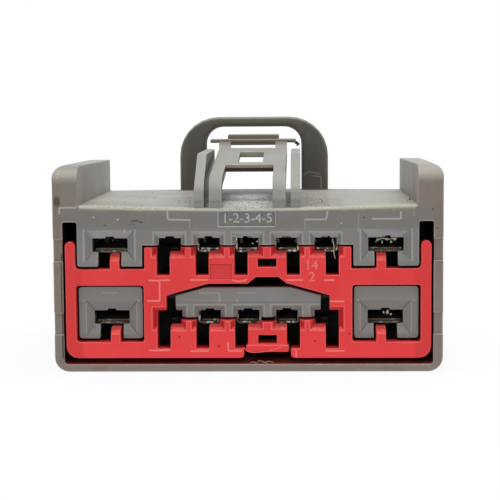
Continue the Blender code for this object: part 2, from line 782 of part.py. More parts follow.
def nib_box(clearance):
    """The block that a right-hand side nib fills, grown by a clearance."""
    outer = WALL_INNER - RETAINER_GAP
    return (
        (outer - ROOT / 2, outer + NIB_PROUD + clearance),
        (depth(NIB_START) - clearance, depth(NIB_START + NIB_LENGTH) + clearance),
        (LOWER_ROW - clearance, LOWER_ROW + NIB_HEIGHT + clearance),
    )


def latch_top(distance):
    """Height of the latch's upper side over the deck, behind its bend."""
    run = (distance - LATCH_BEND) / (LATCH_PLATE_END - LATCH_BEND)
    return deck_height(0.0) + LATCH_FRONT_HEIGHT + LATCH_RISE * max(0.0, run)


def latch_outline():
    """Side view of the latch: it rises at the front edge, bends back and runs over the deck."""
    base = deck_height(0.0) - ROOT
    front = LATCH_FRONT
    bend = LATCH_BEND
    top = latch_top(bend)
    steps = 6
    outer, inner = [], []
    for step in range(steps + 1):
        angle = math.pi / 2 * step / steps
        rise, run = math.sin(angle), 1 - math.cos(angle)
        reach = bend - front
        outer.append((front + reach * run, top - LATCH_OUTER_CROWN * (1 - rise)))
        reach = bend - front - LATCH_THICKNESS
        low = top - LATCH_THICKNESS - LATCH_INNER_CROWN * (1 - rise)
        inner.append((front + LATCH_THICKNESS + reach * run, low))
    end = LATCH_PLATE_END
    pad_start = end + PAD_GAP
    pad_end = pad_start + PAD_LENGTH - PAD_SETBACK
    step_top = latch_top(end) + PAD_STEP
    step_low = step_top + PAD_LIFT - PAD_THICKNESS + FLOAT_MARGIN
    points = [(front, base), *outer, (end, latch_top(end)), (pad_start, step_top), (pad_end, step_top)]
    points += [(pad_end, step_low), (pad_start + PAD_SETBACK, step_low)]
    points += [(end, latch_top(end) - LATCH_THICKNESS), *reversed(inner), (front + LATCH_THICKNESS, base)]
    return points


def latch(workshop):
    """Two arms joined by a plate with a window, and a press pad with a ridge at the free end."""
    body = prism([latch_outline()], (-LATCH_HALF_WIDTH, LATCH_HALF_WIDTH), "SIDE", workshop)
    gap = LATCH_HALF_WIDTH - LATCH_ARM_WIDTH
    deck = deck_height(0.0)
    high = EAR_TOP + 2 * OVERSHOOT
    window_start = LATCH_BAR_DEPTH + LATCH_WINDOW_MARGIN
    pad_start = LATCH_PLATE_END + PAD_GAP
    cut(
        body,
        box((-gap, gap), (depth(-OVERSHOOT), depth(LATCH_BAR_DEPTH)), (deck - 2 * ROOT, high), workshop),
        box(
            (-LATCH_WINDOW_WIDTH / 2, LATCH_WINDOW_WIDTH / 2),
            (depth(window_start), depth(window_start + LATCH_WINDOW_LENGTH)),
            (deck, high),
            workshop,
        ),
        box((-gap, gap), (depth(LATCH_PLATE_END), depth(pad_start)), (deck, high), workshop),
    )
    under = [
        (LATCH_BAR_DEPTH - OVERSHOOT, deck),
        (LATCH_PLATE_END + OVERSHOOT / 2, deck),
        (LATCH_PLATE_END + OVERSHOOT / 2, latch_top(LATCH_PLATE_END) - LATCH_PLATE_THICKNESS),
        (LATCH_BAR_DEPTH - OVERSHOOT, latch_top(LATCH_BAR_DEPTH - OVERSHOOT) - LATCH_PLATE_THICKNESS),
    ]
    cut(body, prism([under], (-gap, gap), "SIDE", workshop))
    pad_top = latch_top(LATCH_PLATE_END) + PAD_STEP + PAD_LIFT
    pad_end = pad_start + PAD_LENGTH
    pad = box(
        (-PAD_HALF_WIDTH, PAD_HALF_WIDTH),
        (depth(pad_start - PAD_SETBACK / 3), depth(pad_end)),
        (pad_top - PAD_THICKNESS, pad_top),
        workshop,
    )
    ridge_end = pad_end - PAD_SETBACK
    ridge = box(
        (-RIDGE_HALF_WIDTH, RIDGE_HALF_WIDTH),
        (depth(ridge_end - RIDGE_LENGTH), depth(ridge_end)),
        (pad_top - PAD_THICKNESS / 2, pad_top + RIDGE_HEIGHT),
        workshop,
    )
    rounded_edges(pad, 0.12 * MM)
    rounded_edges(ridge, 0.15 * MM)
    return join(body, join(pad, ridge))


def guard(side, workshop):
    """One of the two fins beside the latch, with a raked front."""
    inner = LATCH_HALF_WIDTH + GUARD_GAP
    deck = deck_height(inner)
    base = deck - ROOT
    top = deck + GUARD_HEIGHT
    points = rounded(
        [
            (GUARD_START, base),
            (GUARD_START, deck + GUARD_KNEE_HEIGHT, 1.0 * MM),
            (GUARD_RAKE_DEPTH, top, 1.6 * MM),
            (GUARD_LENGTH, top, 0.6 * MM),
            (GUARD_LENGTH, base),
        ],
        4,
    )
    span = sorted((side * inner, side * (inner + GUARD_THICKNESS)))
    return prism([points], span, "SIDE", workshop)


def arch_outline(inset):
    """Front view of the guard loop, drawn in from its full outline by an inset."""
    top = deck_height(ARCH_HALF_WIDTH) + ARCH_HEIGHT
    base = deck_height(0.0) - ROOT
    half = ARCH_HALF_WIDTH - inset
    inner = ARCH_HALF_WIDTH - ARCH_LEG_WIDTH + inset
    under = top - ARCH_BAR + inset
    corners = [
        (-half, base),
        (-inner, base),
        (-inner, under, ARCH_INNER_RADIUS + inset),
        (inner, under, ARCH_INNER_RADIUS + inset),
        (inner, base),
        (half, base),
        (half, top - inset, ARCH_OUTER_RADIUS - inset),
        (-half, top - inset, ARCH_OUTER_RADIUS - inset),
    ]
    return rounded(corners, 7)


def arch(workshop):
    """The loop at the rear that keeps wires off the press pad, its edges rounded over."""
    rear = depth(BODY_DEPTH - ARCH_REAR_MARGIN)
    front = rear - ARCH_THICKNESS
    share = 1 - math.sqrt(0.5)
    insets = [ARCH_EDGE, ARCH_EDGE * share, 0.0]
    places = [0.0, ARCH_EDGE * share, ARCH_EDGE]
    outlines = [arch_outline(inset) for inset in insets + insets[::-1]]
    return layered(outlines, [front + y for y in places] + [rear - y for y in places[::-1]], workshop)


def housing(parts, workshop):
    body = housing_shell(workshop)
    cut(body, pocket(workshop), *tower_face_cutters(workshop), *shell_details(workshop))
    for row_name, row in ROWS.items():
        for index, centre in enumerate(SMALL_CENTRES):
            blanked = index not in LOADED[row_name]
            cut(body, *small_cavity_cutters(centre, row, workshop))
            cut(body, *wire_bore_cutters(centre, row, SMALL_INSULATION_BARREL, workshop, blanked))
        for side in (-1, 1):
            cut(body, *large_cavity_cutters(side * LARGE_X, row, workshop))
            cut(body, *wire_bore_cutters(side * LARGE_X, row, LARGE_INSULATION_BARREL, workshop))
    cut(body, *core_cutters(workshop))
    for row in (LOWER_ROW, UPPER_ROW):
        for centre in SMALL_CENTRES:
            join(body, lance(centre, row, SMALL_LANCE_WIDTH, workshop))
        for side in (-1, 1):
            join(body, lance(side * LARGE_X, row, LARGE_LANCE_WIDTH, workshop))
    join(body, *[tower_shoulder(side, workshop) for side in (-1, 1)])
    join(body, latch(workshop), guard(-1, workshop), guard(1, workshop), arch(workshop))
    return finished(body, "housing", GREY, parts)


def comb(row):
    """The upper edge of a row of posts, from left to right, with a release slot beside each cavity."""
    top = row - POST_GAP
    bottom = row - COMB_SLOT_UNDER_ROW
    points = []
    for centre, side in zip(SMALL_CENTRES, SLOT_SIDES):
        left, right = sorted((centre, centre + side * COMB_SLOT_WIDTH))
        points += [(left, top), (left, bottom), (right, bottom), (right, top)]
    return points


def tongue_span(side):
    """Left and right of the tongue in the slot of a large block: it fills the inner part."""
    inner = LARGE_X - BLOCK_SLOT_WIDTH / 2 + TONGUE_GAP
    return sorted((side * inner, side * (inner + TONGUE_WIDTH)))


def large_tongue(side, row, foot):
    """Corners of a large tongue, from left to right."""
    left, right = tongue_span(side)
    top = row - TONGUE_UNDER_ROW
    return [(left, foot), (left, top), (right, top), (right, foot)]


def clip_span():
    """The post between the two cavities right of the middle, which is the retainer's clip."""
    left = SMALL_CENTRES[SMALL_PER_ROW // 2]
    return left, left + SMALL_PITCH


def retainer_outline():
    """Front view of the plate. The window round the middle tower opens downwards at the clip."""
    arm_inner = BLOCK_OUTER + RETAINER_GAP
    shoulder = UPPER_ROW - BLOCK_UNDER_ROW - SHOULDER_GAP
    flank = BLOCK_INNER - RETAINER_GAP
    post_top = UPPER_ROW - POST_GAP
    slot_floor = LOWER_ROW - COMB_SLOT_UNDER_ROW
    left, right = clip_span()
    notch_left, notch_right = left - CLIP_NOTCH_MARGIN, right + CLIP_NOTCH_MARGIN
    lower = comb(LOWER_ROW)
    points = [
        (-RETAINER_HALF, RETAINER_LOW, RETAINER_CORNER_RADIUS),
        (-RETAINER_HALF, RETAINER_ARM_TOP, RETAINER_ARM_RADIUS),
        (-arm_inner, RETAINER_ARM_TOP, RETAINER_ARM_RADIUS),
        (-arm_inner, shoulder, RETAINER_ARM_RADIUS * 0.8),
        *large_tongue(-1, UPPER_ROW, shoulder),
        (-flank, shoulder),
        (-flank, post_top),
        *comb(UPPER_ROW),
        (flank, post_top),
        (flank, shoulder),
        *large_tongue(1, UPPER_ROW, shoulder),
        (arm_inner, shoulder, RETAINER_ARM_RADIUS * 0.8),
        (arm_inner, RETAINER_ARM_TOP, RETAINER_ARM_RADIUS),
        (RETAINER_HALF, RETAINER_ARM_TOP, RETAINER_ARM_RADIUS),
        (RETAINER_HALF, RETAINER_LOW, RETAINER_CORNER_RADIUS),
        (notch_right, RETAINER_LOW, CLIP_NOTCH_RADIUS),
        (notch_right, slot_floor),
        *[point for point in lower if point[0] > notch_right][:-1],
        *middle_window_roof(),
        *[point for point in lower if point[0] < notch_left][1:],
        (notch_left, slot_floor),
        (notch_left, RETAINER_LOW, CLIP_NOTCH_RADIUS),
    ]
    return rounded(points, 4)


def middle_window_roof():
    """The upper boundary of the middle window, from its right-hand side to its left."""
    tower = middle_tower_outline()
    edge = tower[1][0] + RETAINER_GAP * 1.5
    outer = COMB_HALF + COMB_SLOT_WIDTH
    inner = COMB_HALF + MIDDLE_WINDOW_JAMB
    ledge = LOWER_ROW + ENTRY_HEIGHT / 2 + RETAINER_GAP / 2
    eaves = MIDDLE_ROOF - MIDDLE_TOWER_SLOPE - RETAINER_GAP
    right_side = [
        (outer, ledge),
        (inner, ledge),
        (inner, eaves - RETAINER_GAP),
        (edge, eaves),
        (MIDDLE_TOWER_FLAT - RETAINER_GAP, MIDDLE_ROOF),
    ]
    left_side = [(-x, z) for x, z in reversed(right_side)]
    return right_side + left_side


def clip_relief(workshop):
    """The raised part of the middle window's roof, under the upper clip."""
    left, right = clip_span()
    top = MIDDLE_ROOF + CLIP_RELIEF_HEIGHT
    slope = CLIP_RELIEF_SLOPE / CLIP_RELIEF_HEIGHT
    low = MIDDLE_ROOF - RETAINER_GAP
    points = [
        (left - RETAINER_GAP * slope, low),
        (right + RETAINER_GAP * slope, low),
        (right - CLIP_RELIEF_SLOPE, top),
        (left + CLIP_RELIEF_SLOPE, top),
    ]
    span = (depth(-OVERSHOOT), depth(RETAINER_FACE + RETAINER_PLATE + FLOAT_MARGIN))
    return prism([points], span, "FRONT", workshop)


def large_window(side):
    """The window round a lower large tower, with the tongue that stands in its foot."""
    low = LOWER_ROW - BLOCK_UNDER_ROW - SHOULDER_GAP
    high = LOWER_ROW + TOWER_OVER_ROW + RETAINER_GAP
    left, right = sorted((side * (BLOCK_INNER - RETAINER_GAP / 2), side * (BLOCK_OUTER + RETAINER_GAP)))
    corners = [
        (left, high, TOWER_CORNER_RADIUS),
        (left, low, TOWER_CORNER_RADIUS),
        *large_tongue(side, LOWER_ROW, low),
        (right, low, TOWER_CORNER_RADIUS),
        (right, high, TOWER_CORNER_RADIUS),
    ]
    return rounded(corners, 3)


def comb_funnel_cutters(centre, side, row, workshop):
    """The lower half of a small tab entry's lead-in, cut into the posts and the jambs."""
    entry = SMALL_ENTRY_WIDTH / 2
    slot = COMB_SLOT_WIDTH
    middle = centre + side * (slot - entry) / 2
    half = (slot + entry) / 2
    rise = ENTRY_HEIGHT / 2
    front = depth(RETAINER_FACE)
    past = front - OVERSHOOT, front + RETAINER_PLATE + OVERSHOOT
    return [
        funnel(
            (middle, row),
            (half + SMALL_FUNNEL_SPREAD, rise + COMB_FUNNEL_DROP),
            (half, rise),
            (front, front + COMB_FUNNEL_DEPTH),
            workshop,
        ),
        box(
            (middle - half + FLOAT_MARGIN, middle + half - FLOAT_MARGIN),
            past,
            (row - rise, row + rise),
            workshop,
        ),
    ]


def tongue_bevel(side, row, workshop):
    """Takes the front upper edge off a large tongue, in line with the block's own lead-in."""
    top = row - TONGUE_UNDER_ROW
    slope = TONGUE_BEVEL_HEIGHT / COMB_FUNNEL_DEPTH
    start, end = RETAINER_FACE - OVERSHOOT, RETAINER_FACE + COMB_FUNNEL_DEPTH + OVERSHOOT
    points = [
        (start, top - TONGUE_BEVEL_HEIGHT - OVERSHOOT * slope),
        (end, top + OVERSHOOT * slope),
        (start, top + OVERSHOOT * slope),
    ]
    left, right = tongue_span(side)
    return prism([points], (left - TONGUE_GAP / 2, right + TONGUE_GAP / 2), "SIDE", workshop)


def lance_stop(across, row, foot, workshop):
    """A rib behind the plate, under a lance, that keeps it from bending away from its terminal."""
    top = row - BOX_UNDER_ROW - LANCE_GAP - LANCE_THICKNESS - LANCE_STOP_GAP
    front, rear = RETAINER_FACE + RETAINER_PLATE / 2, RETAINER_FACE + RETAINER_DEPTH
    bevel = LANCE_STOP_BEVEL
    points = [(front, foot), (rear, foot), (rear, top - bevel), (rear - bevel, top), (front, top)]
    return prism([points], across, "SIDE", workshop)


def lance_stops(workshop):
    pieces = []
    for row in (LOWER_ROW, UPPER_ROW):
        foot = row - COMB_SLOT_UNDER_ROW - SHELF_STEP * 2
        for centre, side in zip(SMALL_CENTRES, SLOT_SIDES):
            across = sorted((centre - side * FLOAT_MARGIN, centre - side * SMALL_LANCE_WIDTH))
            pieces.append(lance_stop(across, row, foot, workshop))
        for side in (-1, 1):
            left, right = tongue_span(side)
            across = (left + FLOAT_MARGIN, right - FLOAT_MARGIN)
            large_foot = row - BLOCK_UNDER_ROW - SHOULDER_GAP - SHELF_THICKNESS
            pieces.append(lance_stop(across, row, large_foot, workshop))
    return pieces


def shelves(workshop):
    """The decks behind the plate that carry the lance stops, and the side arms with their nibs."""
    front = depth(RETAINER_FACE + RETAINER_PLATE / 2)
    rear = depth(RETAINER_FACE + RETAINER_DEPTH)
    arm_rear = depth(RETAINER_FACE + RETAINER_ARM_DEPTH)
    half = COMB_HALF + COMB_SLOT_WIDTH
    pieces = []
    for row in (LOWER_ROW, UPPER_ROW):
        top = row - COMB_SLOT_UNDER_ROW - SHELF_STEP
        pieces.append(box((-half, half), (front, rear), (top - SHELF_THICKNESS, top), workshop))
    for side in (-1, 1):
        inner = side * (BLOCK_OUTER + RETAINER_GAP + FLOAT_MARGIN)
        outer = side * (RETAINER_HALF - FLOAT_MARGIN)
        upright = (RETAINER_LOW + 1.3 * RETAINER_CORNER_RADIUS, RETAINER_ARM_TOP - RETAINER_ARM_RADIUS)
        pieces.append(box(sorted((inner, outer)), (front, arm_rear), upright, workshop))
        nib, along, height = nib_box(0.0)
        pieces.append(box(sorted((side * nib[0], side * nib[1])), along, height, workshop))
    return pieces


def relief_cutters(workshop):
    """Room behind the plate: over the clip relief's roof and round the lower clip."""
    left, right = clip_span()
    behind = depth(RETAINER_FACE + RETAINER_PLATE)
    rear = depth(RETAINER_FACE + RETAINER_DEPTH)
    upper_shelf = UPPER_ROW - COMB_SLOT_UNDER_ROW
    lower_shelf = LOWER_ROW - COMB_SLOT_UNDER_ROW
    return [
        clip_relief(workshop),
        box(
            (left + SMALL_LANCE_WIDTH / 2, right - SMALL_LANCE_WIDTH / 2),
            (behind, rear + OVERSHOOT),
            (upper_shelf - SHELF_STEP - 2 * SHELF_THICKNESS, upper_shelf + SHELF_STEP),
            workshop,
        ),
        box(
            (left - CLIP_NOTCH_MARGIN - FLOAT_MARGIN, right + CLIP_NOTCH_MARGIN + FLOAT_MARGIN),
            (behind - RETAINER_PLATE, rear - CLIP_HINGE_DEPTH),
            (0.0, lower_shelf + SHELF_STEP),
            workshop,
        ),
    ]


def lower_clip(workshop):
    """The springy tab in the lower edge, on a stem that reaches back to the lower shelf."""
    left, right = clip_span()
    front = depth(RETAINER_FACE)
    back = depth(RETAINER_FACE + RETAINER_PLATE)
    rear = depth(RETAINER_FACE + RETAINER_DEPTH)
    lip_low = RETAINER_LOW + CLIP_LIP_RISE
    lip_top = lip_low + CLIP_LIP_HEIGHT
    overhang = CLIP_NOTCH_MARGIN - CLIP_LIP_GAP
    lip = box(
        (left - overhang, right + overhang),
        (front, back - RETAINER_PLATE / 3),
        (lip_low, lip_top),
        workshop,
    )
    face = box(
        (left, right),
        (front + CLIP_FACE_STEP, back),
        (lip_top - CLIP_LIP_HEIGHT / 4, LOWER_ROW - CLIP_POST_GAP),
        workshop,
    )
    stem_low = RETAINER_LOW + CLIP_LIP_RISE / 2
    stem_top = LOWER_ROW - COMB_SLOT_UNDER_ROW + SHELF_STEP / 2
    stem = prism(
        [
            [
                (RETAINER_FACE + RETAINER_PLATE / 2, lip_top - CLIP_LIP_HEIGHT / 2),
                (RETAINER_FACE + RETAINER_PLATE * 1.5, stem_low),
                (RETAINER_FACE + RETAINER_DEPTH - CLIP_HINGE_DEPTH / 2, stem_low),
                (RETAINER_FACE + RETAINER_DEPTH - CLIP_HINGE_DEPTH / 2, stem_top),
                (RETAINER_FACE + RETAINER_PLATE / 2, lip_top + CLIP_LIP_HEIGHT / 3),
            ]
        ],
        (left + CLIP_NOTCH_MARGIN, right - CLIP_NOTCH_MARGIN),
        "SIDE",
        workshop,
    )
    return join(rounded_edges(lip, CLIP_LIP_EDGE), face, stem)


def mark_panel(workshop):
    """A shallow bare recess in the post between the second and the third upper cavity."""
    middle = -(SMALL_PITCH + COMB_SLOT_WIDTH) / 2 - MARK_PANEL_OFFSET
    foot = UPPER_ROW - COMB_SLOT_UNDER_ROW - MARK_PANEL_DROP
    return box(
        (middle - MARK_PANEL_WIDTH / 2, middle + MARK_PANEL_WIDTH / 2),
        (depth(-OVERSHOOT), depth(RETAINER_FACE + MARK_PANEL_RECESS)),
        (foot, foot + MARK_PANEL_HEIGHT),
        workshop,
    )


def clip_windows(workshop):
    """The openings for a release tool in the upper and the lower clip."""
    left, right = clip_span()
    middle = (left + right) / 2
    span = (middle - CLIP_WINDOW_WIDTH / 2, middle + CLIP_WINDOW_WIDTH / 2)
    along = (depth(-OVERSHOOT), depth(RETAINER_FACE + RETAINER_PLATE + OVERSHOOT / 2))
    upper = UPPER_ROW - COMB_SLOT_UNDER_ROW + CLIP_WINDOW_HEIGHT
    lower = RETAINER_LOW + CLIP_LIP_RISE + CLIP_LIP_HEIGHT + CLIP_WINDOW_STEP
    return [box(span, along, (foot, foot + CLIP_WINDOW_HEIGHT), workshop) for foot in (lower, upper)]


def front_retainer(parts, workshop):
    loops = [retainer_outline()] + [large_window(side) for side in (-1, 1)]
    face, back = depth(RETAINER_FACE), depth(RETAINER_FACE + RETAINER_PLATE)
    plate = prism(loops, (face, back), "FRONT", workshop)
    join(plate, *shelves(workshop), *lance_stops(workshop))
    cut(plate, *relief_cutters(workshop))
    join(plate, lower_clip(workshop))
    for row in (LOWER_ROW, UPPER_ROW):
        for centre, side in zip(SMALL_CENTRES, SLOT_SIDES):
            cut(plate, *comb_funnel_cutters(centre, side, row, workshop))
        for side in (-1, 1):
            cut(plate, tongue_bevel(side, row, workshop))
    cut(plate, mark_panel(workshop), *clip_windows(workshop))
    return finished(plate, "front_retainer", RED, parts)


def barrel_outline(width, height, sheet):
    """Cross-section of a closed crimp barrel: a rounded tube with a crease along the top."""
    crease = sheet * 1.2
    outer = rounded(
        [
            (-width / 2, 0.0, width * 0.3),
            (width / 2, 0.0, width * 0.3),
            (width / 2, height, width * 0.28),
            (0.12 * width, height),
            (0.0, height - crease),
            (-0.12 * width, height),
            (-width / 2, height, width * 0.28),
        ],
        2,
    )
    inner = rounded(
        [
            (-width / 2 + sheet, sheet, width * 0.2),
            (width / 2 - sheet, sheet, width * 0.2),
            (width / 2 - sheet, height - sheet * 1.3, width * 0.18),
            (0.0, height - crease - sheet * 1.4),
            (-width / 2 + sheet, height - sheet * 1.3, width * 0.18),
        ],
        1,
    )
    return [outer, inner]


def terminal_mesh(width, height, wire_barrel, insulation_barrel, lance_width, workshop):
    """A stamped female terminal, its foot on Z 0 and its mouth at the mating face's depth."""
    sheet = TERMINAL_SHEET
    bend = sheet * 1.6
    half = width / 2
    tube = prism(
        [
            rounded([(-half, 0, bend), (half, 0, bend), (half, height, bend), (-half, height, bend)], 2),
            [
                (-half + sheet, sheet),
                (half - sheet, sheet),
                (half - sheet, height - sheet),
                (-half + sheet, height - sheet),
            ],
        ],
        (depth(0.0), depth(BOX_LENGTH)),
        "FRONT",
        workshop,
    )
    window = box(
        (-lance_width / 2 - LANCE_WINDOW_CLEARANCE, lance_width / 2 + LANCE_WINDOW_CLEARANCE),
        (depth(LANCE_WINDOW_START - LANCE_WINDOW_CLEARANCE), depth(LANCE_WINDOW_END)),
        (-sheet, sheet * 1.5),
        workshop,
    )
    cut(tube, window)
    spring_half = half - sheet * 1.7
    mouth = SPRING_SETBACK
    contact = SPRING_CONTACT_HEIGHT
    lip = contact - SPRING_RISE
    crest = mouth + (SPRING_REACH - SPRING_CONTACT_LENGTH) / 2
    root = mouth + SPRING_REACH
    spring_points = [
        (mouth, lip),
        (crest, contact),
        (crest + SPRING_CONTACT_LENGTH, contact),
        (root, sheet / 2),
        (root - SPRING_CONTACT_LENGTH, sheet / 2),
        (crest + SPRING_CONTACT_LENGTH * 0.8, contact - sheet),
        (crest, contact - sheet),
        (mouth, lip - sheet * 0.8),
    ]
    join(tube, prism([spring_points], (-spring_half, spring_half), "SIDE", workshop))
    floor_half = min(half - sheet, wire_barrel / 2) * 0.9
    neck_end = BOX_LENGTH + NECK_LENGTH
    wire_end = neck_end + WIRE_BARREL_LENGTH
    gap_end = wire_end + BARREL_GAP
    end = gap_end + INSULATION_BARREL_LENGTH
    wall = height * 0.45
    neck = prism(
        [
            [
                (-floor_half, FLOAT_MARGIN),
                (floor_half, FLOAT_MARGIN),
                (floor_half, wall),
                (floor_half - sheet, wall),
                (floor_half - sheet, sheet + FLOAT_MARGIN),
                (-floor_half + sheet, sheet + FLOAT_MARGIN),
                (-floor_half + sheet, wall),
                (-floor_half, wall),
            ]
        ],
        (depth(BOX_LENGTH - 0.2 * MM), depth(gap_end + 0.2 * MM)),
        "FRONT",
        workshop,
    )
    wire = prism(
        barrel_outline(wire_barrel, wire_barrel * 0.86, sheet),
        (depth(neck_end), depth(wire_end)),
        "FRONT",
        workshop,
    )
    insulation = prism(
        barrel_outline(insulation_barrel, insulation_barrel * 0.95, sheet),
        (depth(gap_end), depth(end)),
        "FRONT",
        workshop,
    )
    join(tube, neck, wire, insulation)
    mesh = tube.data
    bpy.data.objects.remove(tube, do_unlink=True)
    return mesh


def finished(thing, name, look, parts):
    """Names a solid, gives it its material and moves it to the collection of the parts."""
    thing.name = name
    thing.data.name = name
    material = bpy.data.materials.get(look[0]) or new_material(*look)
    thing.data.materials.clear()
    thing.data.materials.append(material)
    shape = bmesh.new()
    shape.from_mesh(thing.data)
    bmesh.ops.remove_doubles(shape, verts=shape.verts, dist=0.01 * MM)
    bmesh.ops.dissolve_degenerate(shape, edges=shape.edges, dist=0.01 * MM)
    shape.to_mesh(thing.data)
    shape.free()
    thing.data.shade_smooth()
    thing.data.set_sharp_from_angle(angle=math.radians(35))
    for holder in list(thing.users_collection):
        holder.objects.unlink(thing)
    parts.objects.link(thing)
    return thing


def place_terminals(parts, workshop):
    """Eleven of the fourteen cavities hold a terminal. The outer left pair and the lower right
    small cavity are blank."""
    large = terminal_mesh(
        LARGE_BOX_WIDTH,
        LARGE_BOX_HEIGHT,
        LARGE_WIRE_BARREL,
        LARGE_INSULATION_BARREL,
        LARGE_LANCE_WIDTH,
        workshop,
    )
    small = terminal_mesh(
        SMALL_BOX_WIDTH,
        SMALL_BOX_HEIGHT,
        SMALL_WIRE_BARREL,
        SMALL_INSULATION_BARREL,
        SMALL_LANCE_WIDTH,
        workshop,
    )
    sides = {"left": -1, "right": 1}
    for row_name, row in ROWS.items():
        for side_name, side in sides.items():
            name = f"large_terminal_{row_name}_{side_name}"
            place_terminal(name, large, side * LARGE_X, row, parts, workshop)
    for row_name, indices in LOADED.items():
        for index in indices:
            name = f"small_terminal_{row_name}_{index + 1}"
            place_terminal(name, small, SMALL_CENTRES[index], ROWS[row_name], parts, workshop)


def place_terminal(name, mesh, centre, row, parts, workshop):
    made = mesh_object(name, mesh, workshop)
    made.location = (centre, BOX_START + face_of(row), row - BOX_UNDER_ROW)
    return finished(made, name, TIN, parts)


def main():
    clear_scene()
    parts = new_collection("wire_harness_connector")
    workshop = new_collection("workshop")
    housing(parts, workshop)
    front_retainer(parts, workshop)
    place_terminals(parts, workshop)


main()
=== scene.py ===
"""Looks of a fourteen-way wire harness connector: moulded grey housing, red front retainer and
tin plated terminals, on a plain pale floor."""

import math
import random

import bmesh
import bpy
from mathutils import Matrix, Vector
from mathutils.bvhtree import BVHTree


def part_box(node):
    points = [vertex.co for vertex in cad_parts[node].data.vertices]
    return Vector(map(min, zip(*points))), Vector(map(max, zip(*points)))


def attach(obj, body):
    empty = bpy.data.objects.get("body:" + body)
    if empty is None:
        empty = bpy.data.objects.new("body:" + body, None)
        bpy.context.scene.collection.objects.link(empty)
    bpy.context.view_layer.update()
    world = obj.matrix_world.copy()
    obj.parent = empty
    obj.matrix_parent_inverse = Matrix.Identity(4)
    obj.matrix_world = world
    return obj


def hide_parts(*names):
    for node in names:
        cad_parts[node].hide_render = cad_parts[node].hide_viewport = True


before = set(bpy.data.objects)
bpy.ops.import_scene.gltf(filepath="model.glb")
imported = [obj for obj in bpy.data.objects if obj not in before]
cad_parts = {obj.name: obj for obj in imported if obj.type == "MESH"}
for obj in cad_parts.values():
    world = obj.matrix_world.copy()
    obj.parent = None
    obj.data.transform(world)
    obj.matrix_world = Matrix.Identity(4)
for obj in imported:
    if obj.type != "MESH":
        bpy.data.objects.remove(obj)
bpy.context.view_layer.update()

MM = 0.001
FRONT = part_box("housing")[0][1]  # Y of the mating face
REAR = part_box("housing")[1][1]
DEPTH = FRONT / MM
RETAINER_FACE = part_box("front_retainer")[0][1]
LABEL_FLOOR = FRONT + 0.2 * MM

HOUSING_ROUNDING = 0.11 * MM
RETAINER_ROUNDING = 0.1 * MM
SHARP_FROM = 32.0  # degrees between two faces from which their edge is rounded
ROUNDING_TRIES = 7
BORDER_STEPS = 8  # of a grit patch across the crowned deck

SKY = 0.5
LENS = 107.0
CAMERA_PLACE = (5.127 * MM, FRONT - 151.203 * MM, 27.464 * MM)
CAMERA_RIGHT = (0.999484, 0.03213, 0.0)
CAMERA_AHEAD = (-0.031976, 0.994694, -0.097781)
CAMERA_ROLL = -0.4  # degrees


# Shader maths

class Wire:
    """One output in a material's node tree. Sums on it add Math nodes."""

    def __init__(self, shade, socket):
        self.shade = shade
        self.socket = socket

    def math(self, operation, *others):
        node = self.shade.tree.nodes.new("ShaderNodeMath")
        node.operation = operation
        for place, value in enumerate((self, *others)):
            self.shade.feed(node.inputs[place], value)
        return Wire(self.shade, node.outputs[0])

    def __add__(self, other):
        return self.math("ADD", other)

    def __radd__(self, other):
        return self.math("ADD", other)

    def __sub__(self, other):
        return self.math("SUBTRACT", other)

    def __rsub__(self, other):
        return self.shade.number(other).math("SUBTRACT", self)

    def __mul__(self, other):
        return self.math("MULTIPLY", other)

    def __rmul__(self, other):
        return self.math("MULTIPLY", other)

    def __pow__(self, other):
        return self.math("POWER", other)

    def __neg__(self):
        return self.math("MULTIPLY", -1.0)

    def __abs__(self):
        return self.math("ABSOLUTE")

    def low(self, other):
        return self.math("MINIMUM", other)

    def high(self, other):
        return self.math("MAXIMUM", other)

    def ramp(self, start, end):
        """0 at start and 1 at end, with soft ends."""
        return self.shade.node(
            "ShaderNodeMapRange",
            {"interpolation_type": "SMOOTHSTEP"},
            {"Value": self, "From Min": start, "From Max": end},
        )

    def between(self, start, end, soft):
        """1 from start to end, falling to 0 over a soft border outside them."""
        return self.ramp(start - soft, start) * (1 - self.ramp(end, end + soft))


